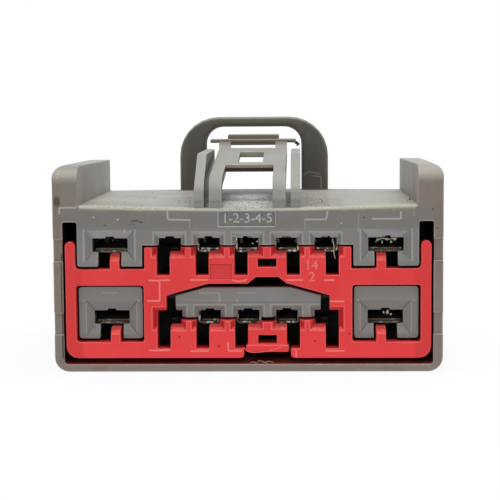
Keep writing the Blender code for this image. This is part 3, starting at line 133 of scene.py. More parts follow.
class Shade:
    """A material with one Principled BSDF, and the nodes that its finish is made of."""

    def __init__(self, name, **constants):
        self.material = bpy.data.materials.new(name)
        self.material.use_nodes = True
        self.tree = self.material.node_tree
        self.surface = self.tree.nodes["Principled BSDF"]
        for socket, value in constants.items():
            self.surface.inputs[socket.replace("_", " ")].default_value = value
        place = self.tree.nodes.new("ShaderNodeTexCoord")
        self.place = Wire(self, place.outputs["Object"])
        self.x, self.y, self.z = (part * (1 / MM) for part in self.parts(self.place))
        facing = self.tree.nodes.new("ShaderNodeNewGeometry")
        self.facing = self.parts(Wire(self, facing.outputs["Normal"]))

    def feed(self, socket, value):
        if isinstance(value, Wire):
            self.tree.links.new(value.socket, socket)
        else:
            socket.default_value = value

    def number(self, value):
        node = self.tree.nodes.new("ShaderNodeValue")
        node.outputs[0].default_value = value
        return Wire(self, node.outputs[0])

    def node(self, kind, settings=None, inputs=None):
        node = self.tree.nodes.new(kind)
        for name, value in (settings or {}).items():
            setattr(node, name, value)
        for name, value in (inputs or {}).items():
            self.feed(node.inputs[name], value)
        return Wire(self, node.outputs[0])

    def parts(self, vector):
        node = self.tree.nodes.new("ShaderNodeSeparateXYZ")
        self.feed(node.inputs[0], vector)
        return [Wire(self, output) for output in node.outputs]

    def noise(self, scale, detail, stretch=(1, 1, 1)):
        """Noise from 0 to 1 in the object's own coordinates, its scale in features a millimetre."""
        spot = self.node(
            "ShaderNodeVectorMath",
            {"operation": "MULTIPLY"},
            {0: self.place, 1: tuple(scale / MM * share for share in stretch)},
        )
        return self.node(
            "ShaderNodeTexNoise", None, {"Vector": spot, "Scale": 1.0, "Detail": detail, "Roughness": 0.55}
        )

    def specks(self, scale, size):
        """Round specks where a cell's middle is near, each cell a share of a millimetre wide."""
        spot = self.node(
            "ShaderNodeVectorMath", {"operation": "MULTIPLY"}, {0: self.place, 1: (scale / MM,) * 3}
        )
        near = self.node("ShaderNodeTexVoronoi", None, {"Vector": spot, "Scale": 1.0})
        return 1 - near.ramp(size * 0.6, size)

    def mix(self, mask, first, second):
        """Colour first where the mask is 0 and second where it is 1."""
        node = self.tree.nodes.new("ShaderNodeMix")
        node.data_type = "RGBA"
        self.feed(node.inputs[0], mask)
        self.feed(node.inputs[6], first)
        self.feed(node.inputs[7], second)
        return Wire(self, node.outputs[2])

    def bump(self, height, distance, strength):
        return self.node(
            "ShaderNodeBump", None, {"Height": height, "Distance": distance, "Strength": strength}
        )

    def set(self, **wires):
        for socket, value in wires.items():
            self.feed(self.surface.inputs[socket.replace("_", " ")], value)
        return self.material


def rgb(red, green, blue):
    return (red, green, blue, 1.0)


def highest(masks):
    """Where any of the masks is 1."""
    result = masks[0]
    for mask in masks[1:]:
        result = result.high(mask)
    return result


def stroke(shade, start, end, width):
    """A thin line between two points (x, z) of a face that looks forwards."""
    across, rise = end[0] - start[0], end[1] - start[1]
    length = math.hypot(across, rise)
    if rise == 0.0:
        along, off = shade.x - (start[0] + across / 2), shade.z - start[1]
    elif across == 0.0:
        along, off = shade.z - (start[1] + rise / 2), shade.x - start[0]
    else:
        share_x, share_z = across / length, rise / length
        along = shade.x * share_x + shade.z * share_z
        along = along - (start[0] * share_x + start[1] * share_z + length / 2)
        off = shade.z * share_x - shade.x * share_z - (start[1] * share_x - start[0] * share_z)
    past = (abs(along) - length / 2).high(0.0)
    return 1 - (abs(off) + past).ramp(width * 0.4, width)


def drawn(shade, lines, width, depths):
    """Every line of a list, on what looks forwards between two depths behind the mating face."""
    marks = highest([stroke(shade, *line, width) for line in lines])
    level = (shade.y - FRONT / MM).between(*depths, 0.02)
    return marks * level * (1 - shade.facing[1].ramp(-0.9, -0.6))


def blot(shade, centre, reach, soft=0.5):
    """A soft round or oval spot about a point (x, z), with its reach in each direction."""
    across = (shade.x - centre[0]) * (1 / reach[0])
    rise = (shade.z - centre[1]) * (1 / reach[1])
    return 1 - (across * across + rise * rise).ramp(1 - soft, 1)


# Finishes

# Witness lines of the mould's inserts on the housing's face, as pairs of points (x, z)
FACE_LINES = [
    ((-8.2, 16.62), (-8.12, 15.84)),
    ((-8.08, 15.76), (-5.8, 15.7)),
    ((5.86, 15.7), (8.0, 15.7)),
    ((8.06, 15.74), (8.18, 16.5)),
    ((12.75, 15.74), (15.58, 15.74)),
    ((15.66, 15.8), (15.66, 16.45)),
    ((-19.2, 17.02), (-17.5, 17.02)),
    ((-19.24, 16.98), (-19.26, 16.4)),
]
FAINT_FACE_LINES = [
    ((5.86, 15.62), (5.86, 14.75)),
    ((-5.9, 15.6), (-5.9, 14.9)),
    ((11.35, 16.3), (11.35, 14.4)),
    ((16.95, 16.9), (16.95, 16.0)),
    ((2.84, 16.75), (2.84, 15.1)),
    ((-3.02, 16.75), (-3.02, 15.1)),
]
DARK_SPOTS = [
    ((-19.5, 17.6), (0.3, 0.5)),
    ((-19.57, 17.76), (0.16, 0.16)),
    ((19.37, 14.78), (0.12, 0.14)),
    ((18.9, 16.71), (0.12, 0.12)),
    ((-11.5, 15.62), (0.5, 0.1)),
    ((-10.9, 15.48), (0.35, 0.08)),
    ((-14.6, 15.2), (0.2, 0.08)),
    ((11.9, 15.9), (0.16, 0.1)),
]
PALE_SPOTS = [
    ((-15.76, 16.01), (0.1, 0.1)),
    ((-13.27, 15.77), (0.12, 0.1)),
    ((-19.36, 20.46), (0.09, 0.12)),
    ((-19.45, 20.08), (0.08, 0.08)),
    ((-12.6, 14.6), (0.06, 0.2)),
    ((9.6, 15.3), (0.08, 0.08)),
]
LOOP_SCRATCHES = [
    ((5.63, 18.96), (6.61, 19.44)),
    ((6.61, 19.44), (7.82, 19.13)),
    ((7.94, 18.83), (6.98, 18.95)),
    ((7.97, 18.74), (7.96, 17.49)),
]
LABEL_LINES = [((-2.95, 15.05), (2.75, 15.05)), ((2.8, 15.1), (2.8, 16.45))]
TOWER_LINES = [
    ((-5.05, 8.1), (-3.0, 8.1)),
    ((-2.93, 8.02), (-2.93, 7.1)),
    ((-1.1, 8.08), (0.7, 8.08)),
    ((-1.12, 7.4), (-1.12, 7.02)),
    ((-15.0, 8.13), (-13.6, 8.13)),
]
RETAINER_LINES = [
    ((-10.15, 9.48), (-9.1, 9.46)),
    ((-9.06, 9.42), (-9.06, 7.45)),
    ((-10.3, 7.36), (-9.1, 7.36)),
    ((-9.05, 9.5), (-8.0, 9.52)),
    ((-5.85, 9.52), (-4.1, 9.52)),
    ((-1.6, 9.5), (-1.2, 9.38)),
    ((-1.2, 9.38), (-0.5, 9.38)),
    ((-0.5, 9.38), (-0.1, 9.55)),
    ((4.0, 9.48), (5.6, 9.48)),
    ((7.85, 9.46), (8.85, 9.46)),
    ((8.4, 7.26), (9.85, 7.26)),
    ((-10.2, 2.2), (-8.1, 2.2)),
    ((-5.9, 2.12), (-4.1, 2.12)),
    ((-2.05, 3.0), (-2.05, 2.22)),
    ((-2.0, 2.14), (-0.65, 2.14)),
    ((8.0, 2.12), (9.85, 2.12)),
    ((4.95, 2.2), (4.95, 1.5)),
]
RETAINER_SPOTS = [(-7.07, 3.61), (-3.0, 2.66), (6.89, 3.16), (-10.9, 7.9), (2.3, 7.6), (10.4, 3.9)]

# Mitres of the four wide entries' funnels, from their outer to their inner corners
FUNNEL_LINES = [
    ((side * 14.1 + across * 2.6, row + rise * 1.66), (side * 14.1 + across * 1.84, row + rise * 0.8))
    for side in (-1, 1)
    for row in (5.53, 13.13)
    for across in (-1, 1)
    for rise in (-1, 1)
]


def housing_finish(name, edge=False):
    """Warm grey moulded plastic: painted light where it faces up, brown dirt on the ears and the
    walls, painted shade on the guard loop, and black painted shade behind the tab entries."""
    shade = Shade(name, Specular_IOR_Level=0.3)
    x, y, z = shade.x, shade.y, shade.z
    up = shade.facing[2]
    ahead = 1 - shade.facing[1].ramp(-0.85, -0.5)
    cloud = shade.noise(0.22, 4)
    patch = shade.noise(0.07, 3)
    fine = shade.noise(3.0, 3)
    grain = shade.noise(14.0, 2)
    depth = y - FRONT / MM

    tone = shade.mix(z.between(0.0, 10.0, 0.5), rgb(0.168, 0.158, 0.148), rgb(0.212, 0.216, 0.207))
    # Painted light: faces that look up are painted paler, as if lit from above.
    tone = shade.mix(up.ramp(0.1, 0.7) * 0.5, tone, rgb(0.25, 0.24, 0.22))
    rows = z.between(11.0, 14.6, 0.4) * depth.between(0.0, 4.0, 1.0)
    tone = shade.mix(rows * 0.6, tone, rgb(0.2, 0.203, 0.196))
    under = (-up).ramp(0.15, 0.5) * z.between(12.0, 15.5, 0.4) * (1 - depth.ramp(1.0, 1.6))
    tone = shade.mix(under * 0.8, tone, rgb(0.3, 0.29, 0.3))
    side = abs(x).ramp(18.8, 19.2)
    wall = shade.mix(z.ramp(3.0, 14.0), rgb(0.205, 0.163, 0.135), rgb(0.178, 0.138, 0.112))
    tone = shade.mix(side * (0.75 + 0.25 * cloud), tone, wall)
    tone = shade.mix((1 - z.ramp(0.5, 1.0)) * 0.85, tone, rgb(0.24, 0.2, 0.166))

    # Painted shade: a near black strip at the left wall's inner edge, in the gap beside the retainer.
    border = x.between(-19.2, -18.85, 0.05) * z.between(1.6, 12.0, 0.5) * ahead * (1 - depth.ramp(0.6, 1.0))
    tone = shade.mix(border * 0.85, tone, rgb(0.03, 0.012, 0.01))

    blotch = (1 - z.ramp(0.7, 0.9)) * ahead * shade.noise(0.35, 3).ramp(0.52, 0.64)
    tone = shade.mix(blotch * 0.45, tone, rgb(0.19, 0.14, 0.1))

    # Painted light: the deck's upward faces are painted pale, as light from above and its sheen.
    deck = up.ramp(0.15, 0.85) * z.ramp(14.0, 16.0)
    tone = shade.mix(deck, tone, rgb(0.35, 0.338, 0.31))
    corner = x.ramp(-8.0, -13.0) * (1 - depth.ramp(2.0, 9.0)) + 0.35 * (1 - depth.ramp(0.0, 6.0))
    tone = shade.mix(deck * corner.low(1.0) * 0.8, tone, rgb(0.27, 0.26, 0.23))
    dulled = deck * x.between(5.2, 9.4, 1.0) * (1 - depth.ramp(9.0, 18.0))
    tone = shade.mix(dulled * 0.5, tone, rgb(0.235, 0.22, 0.185))
    # Painted light: the deck under the latch is painted much paler, fading out towards the rear.
    under_latch = deck * (1 - abs(x).ramp(2.2, 2.9)) * (1 - z.ramp(17.3, 17.6))
    under_latch = under_latch * (1 - depth.ramp(15.0, 22.0))
    tone = shade.mix(under_latch * (0.6 + 0.3 * depth.ramp(5.0, 14.0)), tone, rgb(0.66, 0.68, 0.66))
    # Painted highlight: a cream band along the deck's rounded front edge, strongest where it faces up.
    cream = z.between(16.78, 17.4, 0.12) * (1 - depth.ramp(0.5, 2.2)) * (1 - abs(x).ramp(17.2, 17.4))
    tone = shade.mix(cream * (0.2 + 0.75 * up.ramp(0.2, 0.7)), tone, rgb(0.44, 0.42, 0.345))
    lichen = (x.between(-14.5, -9.0, 2.0) + 0.75 * x.between(9.5, 16.0, 1.0)) * fine.ramp(0.42, 0.6)
    lichen = lichen * z.between(16.6, 17.3, 0.12) * (1 - depth.ramp(0.3, 1.2))
    tone = shade.mix(lichen * 0.75, tone, rgb(0.25, 0.245, 0.115))

    # Ears: stained fronts, paler towards their tops, inner faces painted lighter as painted light, and a
    # reddish tint inside the right one
    ear = z.ramp(16.9, 17.3) * abs(x).ramp(17.0, 17.3)
    stain = ear * ahead * (1 - z.ramp(18.6, 20.6)) * (0.55 + 0.45 * patch)
    tone = shade.mix(stain, tone, rgb(0.2, 0.163, 0.137))
    tone = shade.mix(ear * ahead * z.ramp(19.3, 20.4) * 0.85, tone, rgb(0.37, 0.345, 0.29))
    # Painted light: the ears' inner faces are painted lighter.
    inward = ear * (x * shade.facing[0]).ramp(-3.0, -12.0)
    tone = shade.mix(inward * 0.9, tone, rgb(0.272, 0.256, 0.218))
    ruddy = x.ramp(14.0, 15.0) * patch.ramp(0.3, 0.6) * (1 - depth.ramp(6.0, 14.0))
    tone = shade.mix(inward * ruddy * 0.9, tone, rgb(0.42, 0.265, 0.235))
    tone = shade.mix(ear * blot(shade, (-19.5, 17.6), (0.45, 0.8)) * 0.7, tone, rgb(0.09, 0.065, 0.04))

    # Latch, its beam and press pad, and the guard loop
    latch = z.ramp(17.4, 17.9) * (1 - abs(x).ramp(5.6, 6.0)) * (1 - y.ramp(10.9, 11.5))
    # Painted light: the latch's forward faces are painted lighter than the housing's face.
    tone = shade.mix(latch * ahead * 0.85, tone, rgb(0.295, 0.285, 0.26))
    # Painted shade: dark brown in the gaps between the latch arms and the fins, darkest low down.
    gap = latch * abs(shade.facing[0]).ramp(0.3, 0.7) * (1 - abs(x).ramp(4.9, 5.2))
    gap = gap * (1 - depth.ramp(9.0, 17.0))
    tone = shade.mix(gap * (0.4 + 0.5 * (1 - z.ramp(18.5, 22.5))), tone, rgb(0.05, 0.038, 0.03))
    # Painted light: the latch's upward faces are painted paler.
    top = latch * up.ramp(0.3, 0.7)
    tone = shade.mix(top * 0.9, tone, rgb(0.3, 0.294, 0.272))
    # Painted shade on the lower part of the beam's front, and a painted highlight, pale tan, on its upper
    # part.
    beam = latch * ahead * y.ramp(-4.6, -4.2) * (1 - z.ramp(21.6, 22.6))
    tone = shade.mix(beam * (1 - z.ramp(20.3, 20.6)) * 0.8, tone, rgb(0.07, 0.05, 0.038))
    tone = shade.mix(beam * z.ramp(20.4, 20.6) * 0.85, tone, rgb(0.36, 0.31, 0.22))
    pad = latch * y.ramp(8.2, 8.8) * z.ramp(20.5, 21.0)
    tone = shade.mix(pad * 0.9, tone, rgb(0.145, 0.113, 0.084))
    # Painted light: the pad's upward faces are painted paler.
    tone = shade.mix(pad * up.ramp(0.2, 0.7) * 0.7, tone, rgb(0.23, 0.21, 0.165))
    # Painted shade: the guard loop is painted near black, with a paler painted band of light about its
    # outer rim and painted light on its upward faces.
    loop = y.ramp(11.4, 11.9) * z.ramp(17.2, 17.5) * (1 - abs(x).ramp(9.2, 9.6))
    tone = shade.mix(loop * 0.97, tone, rgb(0.03, 0.025, 0.017))
    band = z.ramp(24.8, 25.8).high(abs(x).ramp(7.5, 8.7) * z.ramp(17.5, 20.0))
    tone = shade.mix(loop * band * 0.8, tone, rgb(0.135, 0.13, 0.105))
    tone = shade.mix(loop * up.ramp(0.3, 0.9) * 0.8, tone, rgb(0.22, 0.21, 0.17))

    panel = x.between(-2.9, 2.75, 0.1) * z.between(15.08, 16.75, 0.1) * depth.between(0.12, 0.3, 0.04)
    tone = shade.mix(panel * 0.9, tone, rgb(0.165, 0.172, 0.162))

    # Wear: clouds of dust, pale scuffs, dark smears and grit
    tone = shade.mix(cloud.ramp(0.35, 0.75) * 0.14, tone, rgb(0.12, 0.108, 0.09))
    tone = shade.mix(fine.ramp(0.55, 0.8) * 0.10, tone, rgb(0.42, 0.41, 0.38))
    smear = blot(shade, (-11.6, 15.5), (1.0, 0.42), 0.8) * fine.ramp(0.45, 0.6) * ahead
    tone = shade.mix(smear * 0.6, tone, rgb(0.07, 0.055, 0.04))
    stubble = x.between(5.6, 8.4, 0.4) + 0.5 * x.between(-9.0, -5.6, 0.6) + 1 - abs(x).ramp(2.5, 2.7)
    stubble = stubble * deck * (1 - z.ramp(17.3, 17.6)) * (1 - depth.ramp(12.0, 26.0))
    tone = shade.mix(stubble * shade.specks(2.4, 0.34) * 0.65, tone, rgb(0.1, 0.085, 0.065))
    # Painted highlight: the rounded edges are painted paler, less on the guard loop's faces that do not
    # look up.
    if edge:
        rim = (0.14 + 0.34 * fine) * (1 - 0.3 * loop * (1 - up.ramp(0.3, 0.8)))
        tone = shade.mix(rim, tone, rgb(0.47, 0.46, 0.42))

    # Painted shade: dark lines along the mitres of the wide entries' funnels.
    mitres = drawn(shade, FUNNEL_LINES, 0.09, (0.03, 1.4))
    tone = shade.mix(mitres * 0.5, tone, rgb(0.06, 0.055, 0.05))
    marks = drawn(shade, FACE_LINES, 0.13, (-0.05, 0.05))
    faint = drawn(shade, FAINT_FACE_LINES, 0.1, (-0.05, 0.05))
    label = drawn(shade, LABEL_LINES, 0.16, (-0.05, 0.05))
    tower = drawn(shade, TOWER_LINES, 0.12, (0.7, 1.0))
    lines = highest([marks, label, faint * 0.35, tower * 0.55])
    tone = shade.mix(lines * 0.6, tone, rgb(0.44, 0.43, 0.4))

    # Small stains and pale nicks
    dark = highest([blot(shade, spot, reach) for spot, reach in DARK_SPOTS]) * ahead
    tone = shade.mix(dark * (0.5 + 0.5 * grain), tone, rgb(0.05, 0.038, 0.028))
    pale = highest([blot(shade, spot, reach) for spot, reach in PALE_SPOTS]) * ahead
    tone = shade.mix(pale * 0.7, tone, rgb(0.55, 0.53, 0.48))
    scratches = drawn(shade, LOOP_SCRATCHES, 0.1, (24.0, 27.5))
    tone = shade.mix(scratches * 0.55, tone, rgb(0.3, 0.29, 0.25))

    # Painted shade: near black in the depths behind the entries and dark on the walls' inner flanks.
    # The ledge under the retainer is painted red, as reflected light from the retainer, with pale dust.
    level = 0.6 + 0.95 * (1 - z.ramp(9.4, 9.6))
    ledge = up.ramp(0.4, 0.8) * (1 - z.ramp(1.0, 1.2)) * (1 - abs(x).ramp(18.9, 19.0))
    ledge = ledge * depth.ramp(-0.1, 0.1)
    dust_and_reflected_red = shade.mix(fine.ramp(0.52, 0.75), rgb(0.27, 0.03, 0.022), rgb(0.32, 0.19, 0.14))
    tone = shade.mix(ledge * 0.95, tone, dust_and_reflected_red)
    inside = (depth - level).ramp(0.0, 0.35) * (1 - y.ramp(REAR / MM - 2.5, REAR / MM - 0.8))
    inside = inside * (1 - abs(x).ramp(19.0, 19.2)) * z.between(0.75, 16.2, 0.15)
    # Painted shade: the walls' inner flanks near the front are painted near black.
    flank = abs(shade.facing[0]).ramp(0.6, 0.9) * abs(x).between(18.6, 19.05, 0.05) * depth.ramp(0.0, 0.3)
    tone = shade.mix(flank * (1 - z.ramp(16.2, 16.6)) * 0.93, tone, rgb(0.035, 0.006, 0.004))
    inside = inside * (1 - ledge * (1 - depth.ramp(2.0, 7.0)))
    tone = shade.mix(inside * 0.97, tone, rgb(0.01, 0.008, 0.007))

    rough = 0.46 + 0.18 * cloud - 0.1 * grain + 0.1 * deck
    normal = shade.bump(grain * 0.6 + fine * 0.4 + lines * 2.0, 0.02 * MM, 0.4)
    return shade.set(Base_Color=tone, Roughness=rough, Normal=normal)


def retainer_finish(name, edge=False):
    """Glossy red moulded plastic, with painted highlights on its rounded edges and chamfers, and painted
    shade in its mitres and depths.
    """
    shade = Shade(name, Specular_IOR_Level=0.3)
    cloud = shade.noise(0.25, 4)
    fine = shade.noise(3.5, 3)
    grain = shade.noise(16.0, 2)
    depth = shade.y - RETAINER_FACE / MM
    up = shade.facing[2]
    ahead = 1 - shade.facing[1].ramp(-0.9, -0.6)
    tone = shade.mix(cloud.ramp(0.3, 0.7), rgb(0.72, 0.036, 0.037), rgb(0.68, 0.028, 0.029))
    tone = shade.mix((1 - shade.z.ramp(1.5, 5.0)) * 0.6, tone, rgb(0.84, 0.045, 0.05))
    tone = shade.mix(abs(shade.x).ramp(16.8, 17.4) * 0.8, tone, rgb(0.61, 0.026, 0.027))
    tone = shade.mix(fine.ramp(0.6, 0.8) * 0.12, tone, rgb(0.85, 0.22, 0.2))
    # Painted light on the upward chamfers, and painted shade on their deeper part.
    chamfer = up.between(0.3, 0.9, 0.1) * depth.between(0.05, 0.8, 0.05)
    tone = shade.mix(chamfer * (0.2 + 0.6 * fine.ramp(0.4, 0.65)), tone, rgb(0.76, 0.13, 0.11))
    tone = shade.mix(chamfer * depth.ramp(0.32, 0.48) * 0.75, tone, rgb(0.4, 0.012, 0.012))
    # Painted shade: the side-facing mitres are painted darker red.
    mitre = abs(shade.facing[0]).between(0.25, 0.9, 0.1) * depth.between(0.05, 0.8, 0.05)
    tone = shade.mix(mitre * 0.6, tone, rgb(0.42, 0.012, 0.016))
    # Painted highlight: the rounded edges are painted pale pink.
    if edge:
        tone = shade.mix(0.16 + 0.36 * fine, tone, rgb(0.86, 0.2, 0.19))

    # The bare recess in one post, painted darker, most along its edges
    panel = depth.between(0.08, 0.2, 0.03) * ahead
    across, along = abs(shade.x + 2.73), abs(shade.z - 10.33)
    panel = panel * (1 - across.ramp(1.17, 1.22)) * (1 - along.ramp(0.84, 0.9))
    corner = across.ramp(0.95, 1.12).high(along.ramp(0.62, 0.78))
    tone = shade.mix(panel * (0.35 + 0.5 * corner), tone, rgb(0.45, 0.016, 0.018))

    face = (RETAINER_FACE - FRONT) / MM
    lines = drawn(shade, RETAINER_LINES, 0.12, (face - 0.05, face + 0.05))
    tone = shade.mix(lines * 0.6, tone, rgb(0.86, 0.28, 0.25))
    dark = highest([blot(shade, spot, (0.13, 0.13)) for spot in RETAINER_SPOTS]) * ahead
    tone = shade.mix(dark * 0.75, tone, rgb(0.1, 0.008, 0.008))
    # Painted shade: darker, then near black, deeper behind the retainer's face.
    tone = shade.mix(depth.ramp(0.7, 2.2) * 0.6, tone, rgb(0.28, 0.006, 0.008))
    tone = shade.mix(depth.ramp(1.6, 4.0) * 0.93, tone, rgb(0.03, 0.002, 0.002))
    rough = 0.36 + 0.18 * cloud
    normal = shade.bump(grain * 0.5 + fine * 0.5 + lines * 2.0, 0.02 * MM, 0.35)
    return shade.set(Base_Color=tone, Roughness=rough, Normal=normal)


def terminal_finish():
    """Tin plate: dull silver where its cut edge looks forwards, tarnished brown, and painted shade, near
    black, on its inner faces and deeper in.
    """
    shade = Shade("terminal_tin_plate", Specular_IOR_Level=0.3)
    brushed = shade.noise(9.0, 3, stretch=(1, 0.08, 1))
    cloud = shade.noise(1.2, 3)
    ahead = 1 - shade.facing[1].ramp(-0.95, -0.7)
    tone = shade.mix(cloud.ramp(0.35, 0.7), rgb(0.07, 0.055, 0.04), rgb(0.12, 0.095, 0.07))
    tone = shade.mix(ahead * cloud.ramp(0.35, 0.65) * 0.9, tone, rgb(0.1, 0.075, 0.055))
    glint = ahead * shade.noise(2.2, 2).ramp(0.53, 0.6) * (1 - 0.65 * abs(shade.x).ramp(10.0, 11.0))
    tone = shade.mix(glint * 0.7, tone, rgb(0.58, 0.56, 0.52))
    depth = shade.y - FRONT / MM
    rear = depth.ramp(15.5, 17.5)
    # Painted shade: away from the rear end, faces that do not look forwards and all that lies deeper than
    # 3.5 mm turn near black and not metallic.
    dull = (depth.ramp(3.5, 3.9) * (1 - rear)).high(1 - ahead * (1 - rear) - rear)
    tone = shade.mix(dull * 0.93, tone, rgb(0.012, 0.01, 0.009))
    tone = shade.mix(depth.ramp(3.5, 4.5) * (1 - rear) * 0.9, tone, rgb(0.03, 0.026, 0.022))
    tone = shade.mix(rear * 0.9, tone, rgb(0.5, 0.48, 0.44))
    return shade.set(
        Base_Color=tone,
        Metallic=1 - dull,
        Roughness=(0.3 + 0.25 * cloud).high(dull),
        Normal=shade.bump(brushed, 0.01 * MM, 0.3),
    )


# Pieces

def reach_between(point, start, end):
    """Distance from a point to a straight edge."""
    line = end - start
    share = (point - start).dot(line) / max(line.length_squared, 1e-18)
    return (point - start - line * min(1.0, max(0.0, share))).length


def room_beside(edge):
    """How far an edge's rounding may reach over its two faces before it meets other edges."""
    ends = [corner.co for corner in edge.verts]
    spots = [ends[0].lerp(ends[1], share / 4) for share in range(5)]
    least = 1.0
    for face in edge.link_faces:
        for other in face.edges:
            if other is edge:
                continue
            shared = set(other.verts) & set(edge.verts)
            if shared:
                corner = shared.pop()
                beside = other.other_vert(corner).co - corner.co
                line = edge.other_vert(corner).co - corner.co
                sine = beside.cross(line).length / max(beside.length * line.length, 1e-18)
                if sine > 0.5:
                    least = min(least, 0.45 * beside.length * sine)
                continue
            start, end = [corner.co for corner in other.verts]
            gap = min(reach_between(spot, start, end) for spot in spots)
            gap = min(gap, reach_between(start, *ends), reach_between(end, *ends))
            least = min(least, 0.45 * gap)
    return least


def mark_corners(shape, width):
    """Gives each sharp outer edge the share of the full rounding that it has room for."""
    weights = shape.edges.layers.float.new("bevel_weight_edge")
    marked = []
    for edge in shape.edges:
        if len(edge.link_faces) == 2 and edge.is_convex:
            if edge.calc_face_angle(0.0) > math.radians(SHARP_FROM):
                share = min(1.0, room_beside(edge) / width)
                if share > 0.3:
                    edge[weights] = share
                    marked.append(edge)
    return weights, marked


def rounded(shape, looks, width):
    """The mesh with its marked edges rounded off, the roundings in the second finish."""
    mesh = bpy.data.meshes.new("moulding")
    shape.to_mesh(mesh)
    for look in looks:
        mesh.materials.append(look)
    for polygon in mesh.polygons:
        polygon.material_index = 0
    thing = bpy.data.objects.new("moulding", mesh)
    bpy.context.scene.collection.objects.link(thing)
    bevel = thing.modifiers.new("edges", "BEVEL")
    bevel.limit_method = "WEIGHT"
    bevel.width = width
    bevel.segments = 2
    bevel.use_clamp_overlap = False
    bevel.material = len(looks) - 1
    evaluated = thing.evaluated_get(bpy.context.evaluated_depsgraph_get())
    finished = bpy.data.meshes.new_from_object(evaluated)
    bpy.data.objects.remove(thing)
    return finished


def faults(mesh, surface, width):
    """Places where a rounded mesh has left the solid's surface or is folded over."""
    trial = bmesh.new()
    trial.from_mesh(mesh)
    bmesh.ops.triangulate(trial, faces=trial.faces)
    spots = []
    for face in trial.faces:
        if face.calc_area() < 1e-13:
            continue
        middle = face.calc_center_median()
        gap = surface.find_nearest(middle)[3]
        near = surface.find_nearest_range(middle, gap + 0.3 * width)
        if gap > 0.5 * width or all(face.normal.dot(found[1]) < 0.2 for found in near):
            spots += [middle, *(corner.co.copy() for corner in face.verts)]
    trial.free()
    return spots


def shade_flats(mesh):
    """Plane faces stay flat; roundings and curved walls are shaded smooth."""
    shape = bmesh.new()
    shape.from_mesh(mesh)
    for face in shape.faces:
        curved = face.material_index == 1
        for edge in face.edges:
            plain = all(beside.material_index == 0 for beside in edge.link_faces)
            if plain and math.radians(1) < edge.calc_face_angle(0.0) < math.radians(33):
                curved = True
        face.smooth = curved
    for edge in shape.edges:
        edge.smooth = edge.calc_face_angle(0.0) < math.radians(50)
    shape.to_mesh(mesh)
    shape.free()


def moulded_copy(node, name, looks, width):
    """A copy of a solid as one clean mesh, with every outer corner rounded off. Where a rounding
    goes wrong it is made smaller, or left out."""
    shape = bmesh.new()
    shape.from_mesh(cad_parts[node].data)
    bmesh.ops.remove_doubles(shape, verts=shape.verts, dist=0.002 * MM)
    surface = BVHTree.FromBMesh(shape)
    bmesh.ops.dissolve_limit(
        shape,
        angle_limit=math.radians(0.5),
        use_dissolve_boundaries=False,
        verts=shape.verts,
        edges=shape.edges,
        delimit={"NORMAL"},
    )
    wide = [face for face in shape.faces if len(face.verts) > 4]
    bmesh.ops.triangulate(shape, faces=wide, quad_method="BEAUTY", ngon_method="BEAUTY")
    weights, marked = mark_corners(shape, width)
    for _ in range(ROUNDING_TRIES):
        mesh = rounded(shape, looks, width)
        spots = faults(mesh, surface, width)
        if not spots:
            break
        for edge in marked:
            reach = 1.2 * width * edge[weights]
            ends = [corner.co for corner in edge.verts]
            if reach and any(reach_between(spot, *ends) < reach for spot in spots):
                edge[weights] = edge[weights] / 2 if edge[weights] > 0.5 else 0.0
    shape.free()
    mesh.name = name
    shade_flats(mesh)
    piece = bpy.data.objects.new(name, mesh)
    bpy.context.scene.collection.objects.link(piece)
    even = piece.modifiers.new("even_faces", "WEIGHTED_NORMAL")
    even.keep_sharp = True
    evaluated = piece.evaluated_get(bpy.context.evaluated_depsgraph_get())
    finished = bpy.data.meshes.new_from_object(evaluated)
    piece.modifiers.clear()
    piece.data = finished
    return piece


def plain_mesh(thing, name, look):
    """The evaluated shape of an object as a mesh of its own, closed and facing outwards."""
    evaluated = thing.evaluated_get(bpy.context.evaluated_depsgraph_get())
    mesh = bpy.data.meshes.new_from_object(evaluated)
    matrix = thing.matrix_world.copy()
    bpy.data.objects.remove(thing)
    mesh.transform(matrix)
    return outward(mesh, name, look)


def outward(mesh, name, look):
    """A mesh with its doubles merged and its faces turned outwards, as a piece in one finish."""
    shape = bmesh.new()
    shape.from_mesh(mesh)
    bmesh.ops.remove_doubles(shape, verts=shape.verts, dist=0.0005 * MM)
    bmesh.ops.recalc_face_normals(shape, faces=shape.faces)
    shape.to_mesh(mesh)
    shape.free()
    mesh.name = name
    mesh.materials.clear()
    mesh.materials.append(look)
    for polygon in mesh.polygons:
        polygon.material_index = 0
    piece = bpy.data.objects.new(name, mesh)
    bpy.context.scene.collection.objects.link(piece)
    return piece


def numerals(name, body, corner, height, front, thickness, look):
    """Raised plain figures on a face that looks forwards; corner is their left foot (x, z)."""
    curve = bpy.data.curves.new(name, "FONT")
    curve.body = body
    curve.size = height * 1.4 * MM
    curve.extrude = thickness / 2 * MM
    curve.offset = 0.02 * MM
    curve.resolution_u = 3
    curve.space_line = 0.86
    thing = bpy.data.objects.new(name, curve)
    bpy.context.scene.collection.objects.link(thing)
    thing.rotation_euler = (math.radians(90), 0, 0)
    thing.location = (corner[0] * MM, front + thickness / 2 * MM, corner[1] * MM)
    bpy.context.view_layer.update()
    return plain_mesh(thing, name, look)


def bar(name, low, high, look):
    """A plain bar between two corners in millimetres."""
    shape = bmesh.new()
    bmesh.ops.create_cube(shape, size=1.0)
    for corner in shape.verts:
        corner.co = Vector([(a + b) / 2 + part * (b - a) for a, b, part in zip(low, high, corner.co)]) * MM
    mesh = bpy.data.meshes.new(name)
    shape.to_mesh(mesh)
    shape.free()
    return outward(mesh, name, look)


